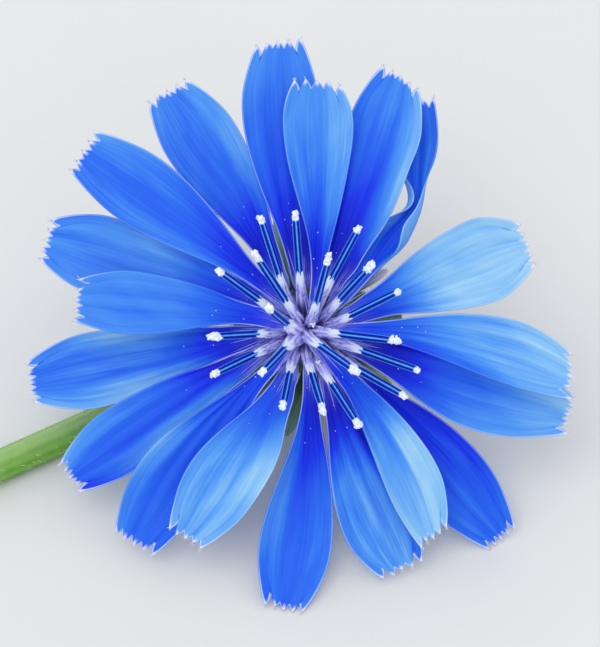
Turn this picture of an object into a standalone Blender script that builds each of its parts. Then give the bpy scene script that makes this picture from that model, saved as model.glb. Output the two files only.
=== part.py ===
"""A picked chicory flower head, lying on a surface on its own cut stem.

The head is a composite flower of 19 florets. Each floret has a corolla, which is a thin tube that opens
into one strap-shaped ligule with five teeth, and a column of fused anthers that stands in the tube's
mouth. Two rows of green bracts hold the florets on the receptacle, the wide end of the stem. The stem
lies flat, the head bends up from it, and the lowest ligules touch the surface.

Lengths are in millimetres and angles in degrees until a mesh is made, in metres. Most of the head is
worked out in the head's own frame: U to the right, V up the face, N out of the face along the head's
axis, with the origin at the throat, where the tubes of the outer florets open.
"""

import math
from collections import namedtuple

import bpy
import numpy as np

MM = 0.001

# The stem and how the head stands on it
STEM_RADIUS = 1.2
STEM_SIDES = 12
STEM_HEADING = 209.5
REST_TO_CUT = 34.0
REST_TO_BEND = 4.0
BEND_RADIUS = 2.0
BEND_STEPS = 6
FACE_TILT = 38.0
HEAD_LENGTH = 12.2

# The receptacle, as radius at depths below the throat, from the bend to its flat top
RECEPTACLE = ((1.6, -12.1), (2.4, -11.95), (3.0, -11.75), (3.3, -11.5), (3.3, -11.2))
RECEPTACLE_TOP = -11.2

# Corollas
SEAT_GAP = 0.3
BLADE_THICKNESS = 0.6
OUTER_SEAT_RADIUS = 2.0
INNER_SEAT_RADIUS = 0.95
TUBE_RADIUS = 0.3
MOUTH_RADIUS = 0.32
KNEE_DEPTH = 0.9
KNEE_REACH = 0.8
WIDENS_FROM = {"outer": 0.0, "inner": 0.05}
WIDEST_AT = 0.76
FOLD_AT = 0.5
FOLD_SPREAD = 0.2
NO_FOLD = (0, 0)
NARROWING_POWER = 1.9
CURLED_UP_AT = 0.4
SKEWS_FROM = 0.6
TEETH = 5
TOOTH_DEPTH = 0.5
PLEAT_RELIEF = 0.05
ROUND_HALF_ARC = 80.0

# Rows of points along a corolla, as shares of its tube, of the bend at its mouth and of its ligule
TUBE_ROWS = (0.0, 0.5, 1.0)
KNEE_ROWS = (0.45, 0.75, 1.0)
LIGULE_ROWS = (0.12, 0.26, 0.4, 0.53, 0.66, 0.78, 0.9, 1.0)

# Anther columns
COLUMN_RADIUS = 0.27
COLUMN_SIDES = 6
FOOT_LENGTH = 1.2
POLLEN_LENGTH = 0.8
POLLEN_RADIUS = 0.365

# Bracts, each as distance from the axis and height, and as widths, from foot to tip
BRACT_COLUMNS = 5
INNER_BRACT_FOOT = ((2.95, -10.9), (3.05, -9.0), (3.4, -6.8), (3.95, -4.8), (4.75, -3.4))
INNER_BRACT_WIDTHS = (1.9, 2.0, 2.15, 1.95, 1.4, 0.9, 0.6)
INNER_BRACT_CURL = (-24, -24)
INNER_BRACT_HOOK = (1.3, 0.35)
OUTER_BRACT_FOOT = ((3.1, -12.25), (3.85, -11.7), (4.05, -10.6), (4.2, -9.3))
OUTER_BRACT_TIP = ((4.6, -8.1), (5.4, -7.2), (6.3, -6.8))
OUTER_BRACT_WIDTHS = (1.5, 2.5, 3.1, 3.2, 2.7, 1.8, 0.7)
OUTER_BRACT_CURL = (-26, -26)
OUTER_BRACT_ANGLES = (20, 92, 164, 236, 308)

Floret = namedtuple("Floret", "seat mouth control tip width tip_width skew curl fold column")
# seat: angle of the tube's foot on the receptacle, and the ring that it stands in
# mouth: angle, distance from the axis and height of the tube's mouth, where the ligule starts
# control: the point that the ligule's curve leaves the mouth for, and comes from to its tip
# tip: angle, distance and height of the middle of the teeth
# width: the ligule's greatest width; tip_width: its width across the teeth
# skew: how far the leftmost tooth reaches past the middle one, and the rightmost falls short of it
# curl: half angle that the section turns up through, on the right and on the left
# fold: how much further the right and the left side fold up at mid-length
# column: angle, distance from the axis and steepness of the tip of the anther column
FLORETS = (
    Floret((96.6, "outer"), (96, 3.0, 0.0), (99, 11.0, 0.0), (95.3, 20.3, 0.3),
           5.0, 3.1, 0.0, (12, 12), NO_FOLD, (94.9, 8.4, 25)),
    Floret((60.0, "inner"), (63, 1.3, 0.9), (83.5, 9.6, 0.85), (87.2, 17.4, 1.6),
           4.9, 3.1, 0.25, (14, 14), NO_FOLD, (72.5, 5.6, 45)),
    Floret((68.9, "outer"), (63, 3.0, 0.0), (66, 11.0, -0.1), (70.0, 19.1, 0.4),
           5.3, 2.9, 0.43, (14, 16), NO_FOLD, (62.3, 8.2, 20)),
    Floret((41.2, "outer"), (39, 2.4, 0.0), (42.5, 12.0, -2.3), (65.1, 18.0, -2.5),
           4.6, 3.0, -0.3, (16, 14), (100, 70), (44.6, 6.7, 40)),
    Floret((13.5, "outer"), (14, 2.5, 0.0), (22, 10.5, 0.5), (21.1, 16.8, 1.8),
           6.1, 3.0, 0.0, (14, 14), NO_FOLD, (22.3, 7.1, 40)),
    Floret((0.0, "inner"), (354, 1.6, 0.9), (358.5, 10.5, 0.8), (350.1, 19.3, 2.0),
           4.6, 2.9, 0.0, (12, 12), NO_FOLD, (353.4, 6.6, 40)),
    Floret((345.8, "outer"), (340, 3.1, 0.0), (338.5, 11.0, -0.6), (342.3, 19.9, -1.2),
           5.4, 2.7, 0.0, (12, 12), NO_FOLD, (340.5, 8.5, 21)),
    Floret((318.2, "outer"), (321, 3.6, 0.0), (317, 11.0, -1.2), (313.1, 20.3, -4.2),
           5.2, 2.3, 0.0, (12, 12), NO_FOLD, (326.5, 8.4, 38)),
    Floret((300.0, "inner"), (305, 0.9, 0.9), (309.5, 9.5, 0.6), (301.9, 17.3, 0.3),
           4.5, 2.4, 0.2, (45, 14), NO_FOLD, (321.2, 4.7, 54)),
    Floret((290.5, "outer"), (294.5, 3.2, 0.0), (288, 11.0, -0.3), (292.0, 18.5, -1.6),
           5.3, 2.9, 0.0, (12, 16), NO_FOLD, (299.4, 7.8, 31)),
    Floret((262.8, "outer"), (276, 2.4, 0.0), (271.5, 11.0, -1.7), (265.7, 19.9, -0.62),
           5.1, 2.7, 0.0, (14, 14), NO_FOLD, (282.6, 6.0, 50)),
    Floret((235.0, "outer"), (248, 2.6, 0.0), (243, 10.0, 2.0), (240.3, 17.0, 1.0),
           5.3, 2.4, 0.0, (16, 14), NO_FOLD, (253.8, 5.7, 54)),
    Floret((240.0, "inner"), (221, 1.4, 0.9), (222, 10.0, -0.2), (231.4, 19.5, -1.5),
           5.2, 3.0, 0.0, (12, 12), NO_FOLD, (224.4, 4.3, 61)),
    Floret((207.4, "outer"), (206, 3.0, 0.0), (208, 11.0, -1.5), (212.1, 19.6, -2.8),
           4.9, 2.3, 0.0, (12, 12), NO_FOLD, (205.7, 7.2, 40)),
    Floret((179.7, "outer"), (185, 2.5, 0.0), (190.5, 10.5, -2.5), (190.9, 20.2, -4.0),
           5.2, 2.8, 0.0, (12, 12), NO_FOLD, (184.0, 6.8, 40)),
    Floret((180.0, "inner"), (168, 1.0, 0.9), (168, 9.0, 0.8), (172.5, 16.3, 1.4),
           4.6, 2.9, 0.0, (12, 12), NO_FOLD, (148.5, 3.0, 68)),
    Floret((152.0, "outer"), (148, 3.0, 0.0), (158, 11.0, -0.5), (160.8, 19.5, -0.6),
           5.4, 2.7, 0.0, (12, 12), NO_FOLD, (145.4, 7.5, 36)),
    Floret((120.0, "inner"), (123, 1.6, 0.9), (135.5, 10.5, 0.5), (141.2, 20.2, 0.8),
           5.2, 3.2, 0.0, (12, 12), NO_FOLD, (123.4, 6.6, 40)),
    Floret((124.3, "outer"), (118, 3.2, 0.0), (114.5, 11.0, -1.5), (119.6, 19.5, -0.8),
           5.6, 2.9, 0.0, (12, 12), NO_FOLD, (111.5, 8.6, 22)),
)
RING = {"outer": OUTER_SEAT_RADIUS, "inner": INNER_SEAT_RADIUS}

# Inner bracts: angle of the foot, angle, distance and height of the tip
INNER_BRACT_TIPS = (
    (327, 328, 7.3, -2.6),
    (12, 8, 7.0, -1.9),
    (57, 36, 7.3, -1.9),
    (102, 105, 7.6, -1.8),
    (147, 150, 7.2, -1.9),
    (192, 198, 7.2, -2.1),
    (237, 236, 7.0, -2.6),
    (282, 260, 7.7, -2.2),
)

# Surfaces: base colour and roughness, and the angle that an edge is sharp from
SHARP_ANGLE = 40.0
BLUE = ((0.045, 0.13, 0.83), 0.55)
NAVY = ((0.01, 0.04, 0.45), 0.5)
GREEN = ((0.19, 0.31, 0.07), 0.6)


def unit(vector):
    vector = np.asarray(vector, float)
    return vector / np.linalg.norm(vector)


def polar(angle, distance, height=0.0):
    """A point of the head's frame from an angle in degrees, a distance from the axis and a height."""
    turn = math.radians(angle)
    return np.array([distance * math.cos(turn), distance * math.sin(turn), height])


TILT = math.radians(FACE_TILT)
HEAD_AXES = np.array(
    [
        [1.0, 0.0, 0.0],
        [0.0, math.cos(TILT), math.sin(TILT)],
        [0.0, -math.sin(TILT), math.cos(TILT)],
    ]
)
ALONG_STEM = -polar(STEM_HEADING, 1.0)
HEAD_AXIS = HEAD_AXES[2]
TURN = math.acos(float(ALONG_STEM @ HEAD_AXIS))
BEND_SIDE = unit(HEAD_AXIS - (HEAD_AXIS @ ALONG_STEM) * ALONG_STEM)
BEND_START = REST_TO_BEND * ALONG_STEM + np.array([0.0, 0.0, STEM_RADIUS])


def bend_point(turned):
    """The centre of the stem after it has turned through an angle in radians of its bend."""
    forward = BEND_RADIUS * math.sin(turned) * ALONG_STEM
    return BEND_START + forward + BEND_RADIUS * (1 - math.cos(turned)) * BEND_SIDE


THROAT = bend_point(TURN) + HEAD_LENGTH * HEAD_AXIS


def to_world(points):
    """Points of the head's frame, in the part's own frame."""
    return THROAT + np.asarray(points) @ HEAD_AXES


def smooth(share):
    share = min(max(share, 0.0), 1.0)
    return share * share * (3 - 2 * share)


def quadratic(start, control, end, share):
    """A point of the quadratic curve that leaves start for control and comes from it to end."""
    return (1 - share) ** 2 * start + 2 * share * (1 - share) * control + share**2 * end


def material(name, finish):
    colour, roughness = finish
    made = bpy.data.materials.new(name)
    made.use_nodes = True
    shader = made.node_tree.nodes["Principled BSDF"]
    shader.inputs["Base Color"].default_value = (*colour, 1.0)
    shader.inputs["Roughness"].default_value = roughness
    shader.inputs["Metallic"].default_value = 0.0
    return made


def add_object(name, points, faces, finish):
    """One object of its own material, from points in millimetres in the part's frame."""
    mesh = bpy.data.meshes.new(name)
    mesh.from_pydata([tuple(point) for point in np.asarray(points) * MM], [], faces)
    mesh.validate()
    mesh.shade_smooth()
    mesh.set_sharp_from_angle(angle=math.radians(SHARP_ANGLE))
    mesh.materials.append(material(name, finish))
    made = bpy.data.objects.new(name, mesh)
    bpy.context.scene.collection.objects.link(made)
    return made


def grid_faces(rows, columns):
    """Triangles of a closed strap of two faces, split alike on both, with its sides and its two ends.

    Each row holds the points of the upper face from right to left, then those of the lower face."""

    def upper(row, column):
        return row * 2 * columns + column

    def lower(row, column):
        return upper(row, column) + columns

    faces = []
    for row in range(rows - 1):
        for column in range(columns - 1):
            a, b = upper(row, column), upper(row + 1, column)
            c, d = upper(row + 1, column + 1), upper(row, column + 1)
            faces += [(a, b, c), (a, c, d)]
            a, b = lower(row, column), lower(row + 1, column)
            c, d = lower(row + 1, column + 1), lower(row, column + 1)
            faces += [(a, c, b), (a, d, c)]
        left = columns - 1
        faces.append((upper(row, left), upper(row + 1, left), lower(row + 1, left)))
        faces.append((upper(row, left), lower(row + 1, left), lower(row, left)))
        faces.append((lower(row, 0), lower(row + 1, 0), upper(row + 1, 0)))
        faces.append((lower(row, 0), upper(row + 1, 0), upper(row, 0)))
    last = rows - 1
    for column in range(columns - 1):
        a, b = upper(0, column), upper(0, column + 1)
        c, d = lower(0, column + 1), lower(0, column)
        faces += [(a, b, c), (a, c, d)]
        a, b = upper(last, column), upper(last, column + 1)
        c, d = lower(last, column + 1), lower(last, column)
        faces += [(a, c, b), (a, d, c)]
    return faces


Row = namedtuple("Row", "centre side half_width half_thickness curl roundness forward")
# side: unit direction to the left, across the strap
# curl: half angles of the section on the right and the left; roundness: 1 for a round section
# forward: how far each column of points is pushed along the strap


def strap(rows, columns):
    """Points of a strap whose section goes from round to thin and curled, row by row."""
    centres = np.array([row.centre for row in rows])
    along = np.gradient(centres, axis=0)
    along /= np.linalg.norm(along, axis=1)[:, None]
    across = np.linspace(-1, 1, columns)
    points = []
    for row, forward in zip(rows, along):
        normal = unit(np.cross(forward, row.side))
        side = np.cross(normal, forward)
        angle = np.radians(np.where(across < 0, row.curl[0], row.curl[1])) + 1e-6
        flat_x = row.half_width * np.sin(angle * across) / angle
        flat_z = row.half_width * (1 - np.cos(angle * across)) / angle
        lean = angle * across
        flat_z = flat_z + PLEAT_RELIEF * (1 - row.roundness) * np.cos(np.pi * np.arange(columns))
        round_x = row.half_width * np.sin(np.radians(ROUND_HALF_ARC) * across)
        round_z = row.half_thickness * np.cos(np.radians(ROUND_HALF_ARC) * across)
        for face in (1, -1):
            thin_x = flat_x - face * row.half_thickness * np.sin(lean)
            thin_z = flat_z + face * row.half_thickness * np.cos(lean)
            x = row.roundness * round_x + (1 - row.roundness) * thin_x
            z = row.roundness * face * round_z + (1 - row.roundness) * thin_z
            ring = row.centre + np.outer(x, side) + np.outer(z, normal)
            points.append(ring + np.outer(row.forward * np.ones(columns), forward))
    return np.concatenate(points)


def ligule_half_width(floret, share):
    """Narrow at the mouth, widest three quarters of the way out and cut off short at the teeth."""
    start = MOUTH_RADIUS / (floret.width / 2)
    first = WIDENS_FROM[floret.seat[1]]
    widening = start + (1 - start) * smooth((share - first) / (WIDEST_AT - first))
    past = max(0.0, (share - WIDEST_AT) / (1 - WIDEST_AT))
    narrowing = 1 - (1 - floret.tip_width / floret.width) * past**NARROWING_POWER
    return floret.width / 2 * widening * narrowing


def corolla(floret):
    """Ovary and tube, the bend at the mouth, and the ligule out to its five teeth."""
    columns = 2 * TEETH - 1
    across = np.linspace(-1, 1, columns)
    foot = polar(floret.seat[0], RING[floret.seat[1]], RECEPTACLE_TOP + SEAT_GAP)
    mouth, control, tip = polar(*floret.mouth), polar(*floret.control), polar(*floret.tip)
    neck = mouth - np.array([0.0, 0.0, KNEE_DEPTH])
    leave = unit([*(control - mouth)[:2], 0.0])
    side = np.array([-leave[1], leave[0], 0.0])
    out = mouth + KNEE_REACH * leave
    tip = tip - TOOTH_DEPTH * unit(tip - control)
    half = BLADE_THICKNESS / 2
    flat = (0.0, 0.0)
    rows = []
    for share in TUBE_ROWS:
        centre = foot + share * (neck - foot)
        rows.append(Row(centre, side, TUBE_RADIUS, TUBE_RADIUS, flat, 1.0, 0.0))
    for share in KNEE_ROWS:
        centre = quadratic(neck, mouth, out, share)
        width = TUBE_RADIUS + (MOUTH_RADIUS - TUBE_RADIUS) * share
        rows.append(Row(centre, side, width, half, flat, 1 - share, 0.0))
    zigzag = TOOTH_DEPTH * (np.arange(columns) % 2 == 0)
    for share in LIGULE_ROWS:
        centre = quadratic(out, control, tip, share)
        heading = (1 - share) * (control - out) + share * (tip - control)
        side = unit([-heading[1], heading[0], 0.0])
        folding = math.exp(-(((share - FOLD_AT) / FOLD_SPREAD) ** 2))
        curling = smooth(share / CURLED_UP_AT)
        curl = [curling * up + folding * more for up, more in zip(floret.curl, floret.fold)]
        forward = floret.skew * across * smooth((share - SKEWS_FROM) / (1 - SKEWS_FROM))
        if share == 1.0:
            forward = forward + zigzag
        rows.append(Row(centre, side, ligule_half_width(floret, share), half, curl, 0.0, forward))
    return strap(rows, columns), grid_faces(len(rows), columns)


def tube(centres, radii, sides, first_side):
    """A closed tube of round rings round a line of centres, with its ends closed."""
    centres = np.asarray(centres, float)
    along = np.gradient(centres, axis=0)
    along /= np.linalg.norm(along, axis=1)[:, None]
    angles = 2 * np.pi * (np.arange(sides) + 0.5) / sides
    points = []
    side = np.asarray(first_side, float)
    for centre, radius, forward in zip(centres, radii, along):
        side = unit(side - (side @ forward) * forward)
        other = np.cross(forward, side)
        ring = np.outer(np.cos(angles), side) + np.outer(np.sin(angles), other)
        points.append(centre + radius * ring)
    faces = []
    for ring in range(len(centres) - 1):
        for step in range(sides):
            a, b = ring * sides + step, ring * sides + (step + 1) % sides
            c, d = b + sides, a + sides
            faces += [(a, b, c), (a, c, d)]
    last = (len(centres) - 1) * sides
    faces.append(tuple(range(sides - 1, -1, -1)))
    faces.append(tuple(range(last, last + sides)))
    return np.concatenate(points), faces


def anther_column(floret):
    """The pale foot, the straight column of anthers and the lump of pollen round the stigma."""
    tip_angle, tip_distance, steepness = floret.column
    slope = math.radians(steepness)
    start = polar(*floret.mouth)
    start[2] += BLADE_THICKNESS / 2 + SEAT_GAP + COLUMN_RADIUS * math.cos(slope)
    level = polar(tip_angle, tip_distance) - [start[0], start[1], 0.0]
    run = np.linalg.norm(level)
    forward = math.cos(slope) * level / run + math.sin(slope) * np.array([0.0, 0.0, 1.0])
    length = run / math.cos(slope)
    profile = (
        (0.0, 0.8 * COLUMN_RADIUS),
        (0.5 * FOOT_LENGTH, COLUMN_RADIUS),
        (FOOT_LENGTH, 0.85 * COLUMN_RADIUS),
        (length - POLLEN_LENGTH, COLUMN_RADIUS),
        (length - 0.65 * POLLEN_LENGTH, POLLEN_RADIUS),
        (length - 0.2 * POLLEN_LENGTH, POLLEN_RADIUS),
        (length, 0.5 * COLUMN_RADIUS),
    )
    centres = [start + distance * forward for distance, _ in profile]
    return tube(centres, [radius for _, radius in profile], COLUMN_SIDES, (0.0, 0.0, 1.0))


def bract(path, widths, curl):
    """A green leaf of even thickness, curved round the head, along a path in the head's frame."""
    rows = []
    for point, width in zip(path, widths):
        outward = unit([point[0], point[1], 0.0])
        side = np.array([-outward[1], outward[0], 0.0])
        rows.append(Row(np.asarray(point), side, width / 2, BLADE_THICKNESS / 2, curl, 0.0, 0.0))
    return strap(rows, BRACT_COLUMNS), grid_faces(len(rows), BRACT_COLUMNS)


def inner_bract(foot_angle, tip_angle, tip_distance, tip_height):
    """Upright along the tubes, then leaning out under the ligules to a narrow tip."""
    before_tip = (tip_distance - INNER_BRACT_HOOK[0], tip_height - INNER_BRACT_HOOK[1])
    profile = (*INNER_BRACT_FOOT, before_tip, (tip_distance, tip_height))
    path = []
    for step, (distance, height) in enumerate(profile):
        lean = smooth((step - 1) / (len(profile) - 2))
        path.append(polar(foot_angle + lean * (tip_angle - foot_angle), distance, height))
    return bract(path, INNER_BRACT_WIDTHS, INNER_BRACT_CURL)


def outer_bract(angle):
    """Shorter and wider than the inner ones, from under the receptacle to a tip that bends away."""
    profile = OUTER_BRACT_FOOT + OUTER_BRACT_TIP
    path = [polar(angle, distance, height) for distance, height in profile]
    return bract(path, OUTER_BRACT_WIDTHS, OUTER_BRACT_CURL)


def stem():
    """The cut stem on the surface, its bend up into the head, and the receptacle."""
    cut = -REST_TO_CUT * ALONG_STEM + [0.0, 0.0, STEM_RADIUS]
    centres = [cut, BEND_START - STEM_RADIUS / 2 * ALONG_STEM]
    centres += [bend_point(TURN * step / BEND_STEPS) for step in range(BEND_STEPS + 1)]
    corner_radius = STEM_RADIUS / math.cos(math.pi / STEM_SIDES)
    radii = [corner_radius] * len(centres)
    for radius, height in RECEPTACLE:
        centres.append(to_world([0.0, 0.0, height]))
        radii.append(radius)
    return tube(centres, radii, STEM_SIDES, np.cross(ALONG_STEM, (0.0, 0.0, 1.0)))


def main():
    for old in list(bpy.data.objects):
        bpy.data.objects.remove(old)
    for number, floret in enumerate(FLORETS, 1):
        points, faces = corolla(floret)
        add_object(f"corolla_{number:02d}", to_world(points), faces, BLUE)
        points, faces = anther_column(floret)
        add_object(f"anthers_{number:02d}", to_world(points), faces, NAVY)
    for number, tip in enumerate(INNER_BRACT_TIPS, 1):
        points, faces = inner_bract(*tip)
        add_object(f"inner_bract_{number}", to_world(points), faces, GREEN)
    for number, angle in enumerate(OUTER_BRACT_ANGLES, 1):
        points, faces = outer_bract(angle)
        add_object(f"outer_bract_{number}", to_world(points), faces, GREEN)
    points, faces = stem()
    add_object("stem", points, faces, GREEN)


main()
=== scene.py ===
"""A picked chicory flower head lying on a pale surface, dressed over its CAD frame.

Lengths are millimetres until a mesh is made, in metres. The head is worked out in its own frame: U to the
right, V up the face, N out of the face along the head's axis, with the origin at the throat. Places along a
ligule or a bract are shares of its length, from 0 at its foot to 1 at its tip. Places across it go from -1
at the right rim to 1 at the left one, as one looks out along it from the throat with its upper side on top.
"""

import math
from collections import namedtuple
from itertools import combinations

import bpy
import numpy as np
from mathutils import Matrix


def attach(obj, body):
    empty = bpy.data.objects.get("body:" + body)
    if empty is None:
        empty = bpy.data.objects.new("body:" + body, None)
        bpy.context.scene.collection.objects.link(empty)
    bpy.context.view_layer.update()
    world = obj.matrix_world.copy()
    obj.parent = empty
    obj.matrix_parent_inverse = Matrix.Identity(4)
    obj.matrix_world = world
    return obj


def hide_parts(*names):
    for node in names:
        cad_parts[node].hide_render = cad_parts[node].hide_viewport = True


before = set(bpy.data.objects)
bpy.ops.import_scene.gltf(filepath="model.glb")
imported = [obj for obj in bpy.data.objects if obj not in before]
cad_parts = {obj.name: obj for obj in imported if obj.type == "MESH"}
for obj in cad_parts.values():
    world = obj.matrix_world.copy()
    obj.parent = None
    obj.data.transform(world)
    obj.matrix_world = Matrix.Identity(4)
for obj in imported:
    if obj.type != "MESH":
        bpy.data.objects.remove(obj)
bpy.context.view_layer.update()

MM = 0.001
UP = np.array([0.0, 0.0, 1.0])
SURFACE_CLEARANCE = 0.01
NEARLY_FLAT = 1e-6

# The stem and how the head stands on it. Its skin lies STEM_SINK inside the solid's surface, and swells
# round the bend. The cut end is dished to a depth of CUT_DISH over the inner CUT_CORE of its radius. It
# carries a painted highlight round one angle in degrees. STEM_ROWS are those of the straight stem, its bend
# and the receptacle.
STEM_RADIUS = 1.2
STEM_HEADING = 209.5
REST_TO_CUT = 34.0
REST_TO_BEND = 4.0
BEND_RADIUS = 2.0
BEND_SWELL = 0.25
FACE_TILT = 38.0
HEAD_LENGTH = 12.2
STEM_RIBS = 10
STEM_RIB_HEIGHT = 0.03
CUP_RIB_SHARE = 0.4
STEM_SINK = 0.05
CUT_DISH = 0.06
CUT_CORE = 0.8
STEM_HIGHLIGHT_AT = 255.0
STEM_HIGHLIGHT_SPREAD = 45.0
STEM_ROWS = (60, 20, 18)
STEM_COLUMNS = 80
# The receptacle, as radius and height from its foot to its top
RECEPTACLE = ((1.6, -12.1), (2.4, -11.95), (3.0, -11.75), (3.3, -11.5), (3.3, -11.2))
RECEPTACLE_TOP = -11.2

# The tube of a corolla: the ovary at its foot, the flare under its mouth and the bend into the ligule
SEAT_RADIUS = {"outer": 2.0, "inner": 0.95}
SEAT_GAP = 0.3
TUBE_RADIUS = 0.3
OVARY_AT = 0.12
OVARY_SPREAD = 0.14
OVARY_BULGE = 0.35
FLARE_SPAN = (0.4, 0.9)
FLARE = 0.1
KNEE_DEPTH = 0.9
KNEE_REACH = 0.8
TUBE_ROWS = 9
KNEE_ROWS = 8

# The ligule's outline. Its claw is the foot of it, where the blades crowd: CLAW_EXTRA is added on all, and
# each floret's own claw starts at CLAW_AT_MOUTH of its amount, is all there at CLAW_FULL_AT and then fades.
# A notch's depth is multiplied, and a tooth's peak moved, by a draw from its range.
MOUTH_RADIUS = 0.32
WIDENS_FROM = {"outer": 0.0, "inner": 0.05}
NARROWING_POWER = 2.2
CLAW_EXTRA = 0.16
CLAW_EXTRA_UNTIL = 0.3
CLAW_AT_MOUTH = 0.6
CLAW_FULL_AT = 0.12
CLAW_FADE_SPAN = (0.3, 0.7)
SKEWS_FROM = 0.6
TEETH = 5
TEETH_FROM = 0.86
TOOTH_REACH = 0.5
NOTCH_DEPTHS = (0.75, 0.45, 0.45, 0.75)
NOTCH_DEPTH_RANGE = (0.75, 1.2)
TOOTH_PEAK_RANGE = (-0.14, 0.1)
BLADE_ROWS = 51
TOOTH_ROWS = 14
COLUMNS_PER_TOOTH = 16
ACROSS = np.concatenate([[-1.0, -0.985], np.linspace(-0.965, 0.965, 4 * COLUMNS_PER_TOOTH + 1), [0.985, 1.0]])

# The folded ligule: where its right and its left side fold up, and how it sways, pinches and ears out there
FOLD_AT = (0.46, 0.57)
FOLD_SPREAD = (0.24, 0.15)
SWAY_AT = 0.53
SWAY_SPREAD = 0.13
FOLD_SWAY = 0.7
PINCH = 0.15
EAR_AT = 0.38
EAR_SPREAD = 0.11
EAR = 1.9

# The ligule's section and relief. BLADE_SINK is how far its middle lies below the curve that it follows.
SOLID_THICKNESS = 0.6
BLADE_THICKNESS = 0.22
TIP_THINS_FROM = 0.6
TIP_THINNING = 0.35
BLADE_SINK = 0.15
CURLED_UP_AT = 0.4
RIB_RELIEF = 0.06
RIBS_FULL_AT = 0.3
RUFFLE = 0.1
RUFFLE_SPAN = (0.3, 0.7)
RUFFLE_RATE = 11.0

# The ligule's light, partly the blue's own tone and partly painted light and shade: where base turns to
# middle and middle to tip, how a flank's change comes and goes, and the underside's own light, to which it
# adds a share of the upper side's painted light and shade.
MIDDLE_LIGHT_SPAN = (0.08, 0.58)
TIP_LIGHT_SPAN = (0.45, 1.0)
FLANK_RISE = 0.3
FLANK_FADE_SPAN = (0.55, 0.95)
FLANK_FADING = 0.65
LIGHT_WAVER = 0.03
UNDERSIDE_LIGHT = 0.38
UNDERSIDE_SHARE = 0.5
BAND_STRENGTH = 0.45

# Anther columns, and the sleeve that each comes up through. Columns as steep as STOUT_STEEPNESS, in degrees,
# are stouter at the foot. The sleeve starts SLEEVE_INWARD of the way out to the mouth, SLEEVE_DEPTH below it.
# Spans are distances out from the column's start, but SLEEVE_SHADE_SPAN is down the sleeve from there, and
# TIP_PALE_SPAN back from the column's end.
ANTHERS = 5
COLUMN_RADIUS = 0.28
SOLID_COLUMN_RADIUS = 0.27
FOOT_LENGTH = 1.2
FOOT_SWELL = 0.22
TIP_TAPER = 0.12
TIP_TAPERS_FROM = 0.75
STOUT_STEEPNESS = (45.0, 70.0)
STOUTNESS = 0.55
STOUT_FADE_SPAN = (0.2, 1.0)
GROOVE_DEPTH = 0.2
FIBRES = 7
FIBRE_RELIEF = 0.16
FIBRE_FADE_SPAN = (0.3, 0.9)
FRAYING = 0.14
FINE_FRAYING = 0.08
FOOT_PALE_SPAN = (FOOT_LENGTH - 0.12, FOOT_LENGTH + 0.18)
TIP_PALE_SPAN = (0.45, 0.05)
LILAC_FADE_SPAN = (-0.1, 0.7)
SLEEVE_DEPTH = 1.1
SLEEVE_SWELL = 0.35
SLEEVE_SWELLS_OVER = 1.2
SLEEVE_NEAREST = 0.3
SLEEVE_INWARD = 0.42
SLEEVE_BEND = 0.45
# SLEEVE_SHADE: how strongly painted shade darkens the sleeve low in the throat, over SLEEVE_SHADE_SPAN
SLEEVE_SHADE = 0.65
SLEEVE_SHADE_SPAN = (0.5, 1.4)
SLEEVE_ROWS = 12
FOOT_ROWS = 9
COLUMN_ROWS = 22
COLUMN_COLUMNS = 40

# Pollen. A lump laps POLLEN_LAP of its length over the column's end, and two heaps lie in the throat.
POLLEN_LAP = 0.6
LUMP_SIZE = 0.84
LUMP_SQUARE = 0.6
LUMP_ROWS = 14
LUMP_COLUMNS = 22
GRAINS_PER_MM = 30
GRAIN_SIZES = (0.06, 0.15)
LOOSE_GRAINS = 3
LOOSE_GRAIN_SIZES = (0.03, 0.05)
HEAPS = ((0.55, 0.4, 1.5), (0.92, -2.27, 0.95))
HEAP_GRAINS = 9
HEAP_SPREAD = 0.07
HEAP_GRAIN_SIZE = 0.1

# Hairs: how many, the radius at the root, and the shortest and the longest
Hair = namedtuple("Hair", "count radius lengths")
FRINGE = Hair(64, 0.024, (0.4, 1.2))
STRANDS = Hair(7, 0.055, (1.2, 3.4))
BRISTLES_PER_TOOTH = Hair(8, 0.028, (0.15, 0.36))
BRACT_HAIRS = Hair(60, 0.025, (0.2, 0.45))
STEM_HAIRS = Hair(260, 0.022, (0.2, 0.6))
FRINGE_STANDS_OFF = 0.3
STRAND_SPREAD = 0.35
STRAND_DROOP = 0.12
BRISTLE_SCATTER = 0.04
HAIR_PLACES = np.array([0.0, 0.4, 0.75])
HAIR_TAPER = np.array([1.0, 0.8, 0.45])

# Where each kind of random draw starts, to which most add the floret's number
TEETH_SEED = 40
RUFFLE_SEED = 70
POLLEN_SEED = 200
THROAT_SEED = 300
BRISTLE_SEED = 400
LOOSE_POLLEN_SEED = 500
OUTER_BRACT_SEED = 20
STEM_HAIR_SEEDS = (7, 8)

# Image: 600 by 647 pixels, with the throat at one of them
IMAGE_CENTRE = (300.0, 323.5)
THROAT_PIXEL = (305.0, 330.0)
MM_PER_PIXEL = 0.0708
IMAGE_HEIGHT = 647
CAMERA_DISTANCE = 200.0
SENSOR = 36.0

# The studio: the floor in millimetres, and where the lamp stands from the throat, in the head's frame
FLOOR_REACH = 600.0
FLOOR_DROP = 0.02
SKY_COLOUR = (0.95, 0.97, 1.0, 1.0)
SKY_STRENGTH = 0.9
LAMP_TOWARDS = (-0.22, 0.28, 1.0)
LAMP_STRENGTH = 0.78
LAMP_SOFTNESS = 40.0

# A ligule's shade, by its fields, partly the blue's own tone and partly painted light and shade, set per
# ligule
# base, middle, tip: how light the blue is along the ligule, 0 for the deepest and 1 for the palest
# left, right: how much lighter that flank is, as painted light and shade; since: how far out that begins
# twist: how far the painted lighter side passes from the left at the foot to the right at the teeth
# flank: where the flanks start and are full, from the midline at 0 to the rim at 1
# streaks: how strong the lengthwise bands are
SOFT = (0.2, 0.9)
Shade = namedtuple(
    "Shade", "base middle tip left right since twist flank streaks", defaults=(0.0, 0.0, SOFT, 1.0)
)

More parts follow.
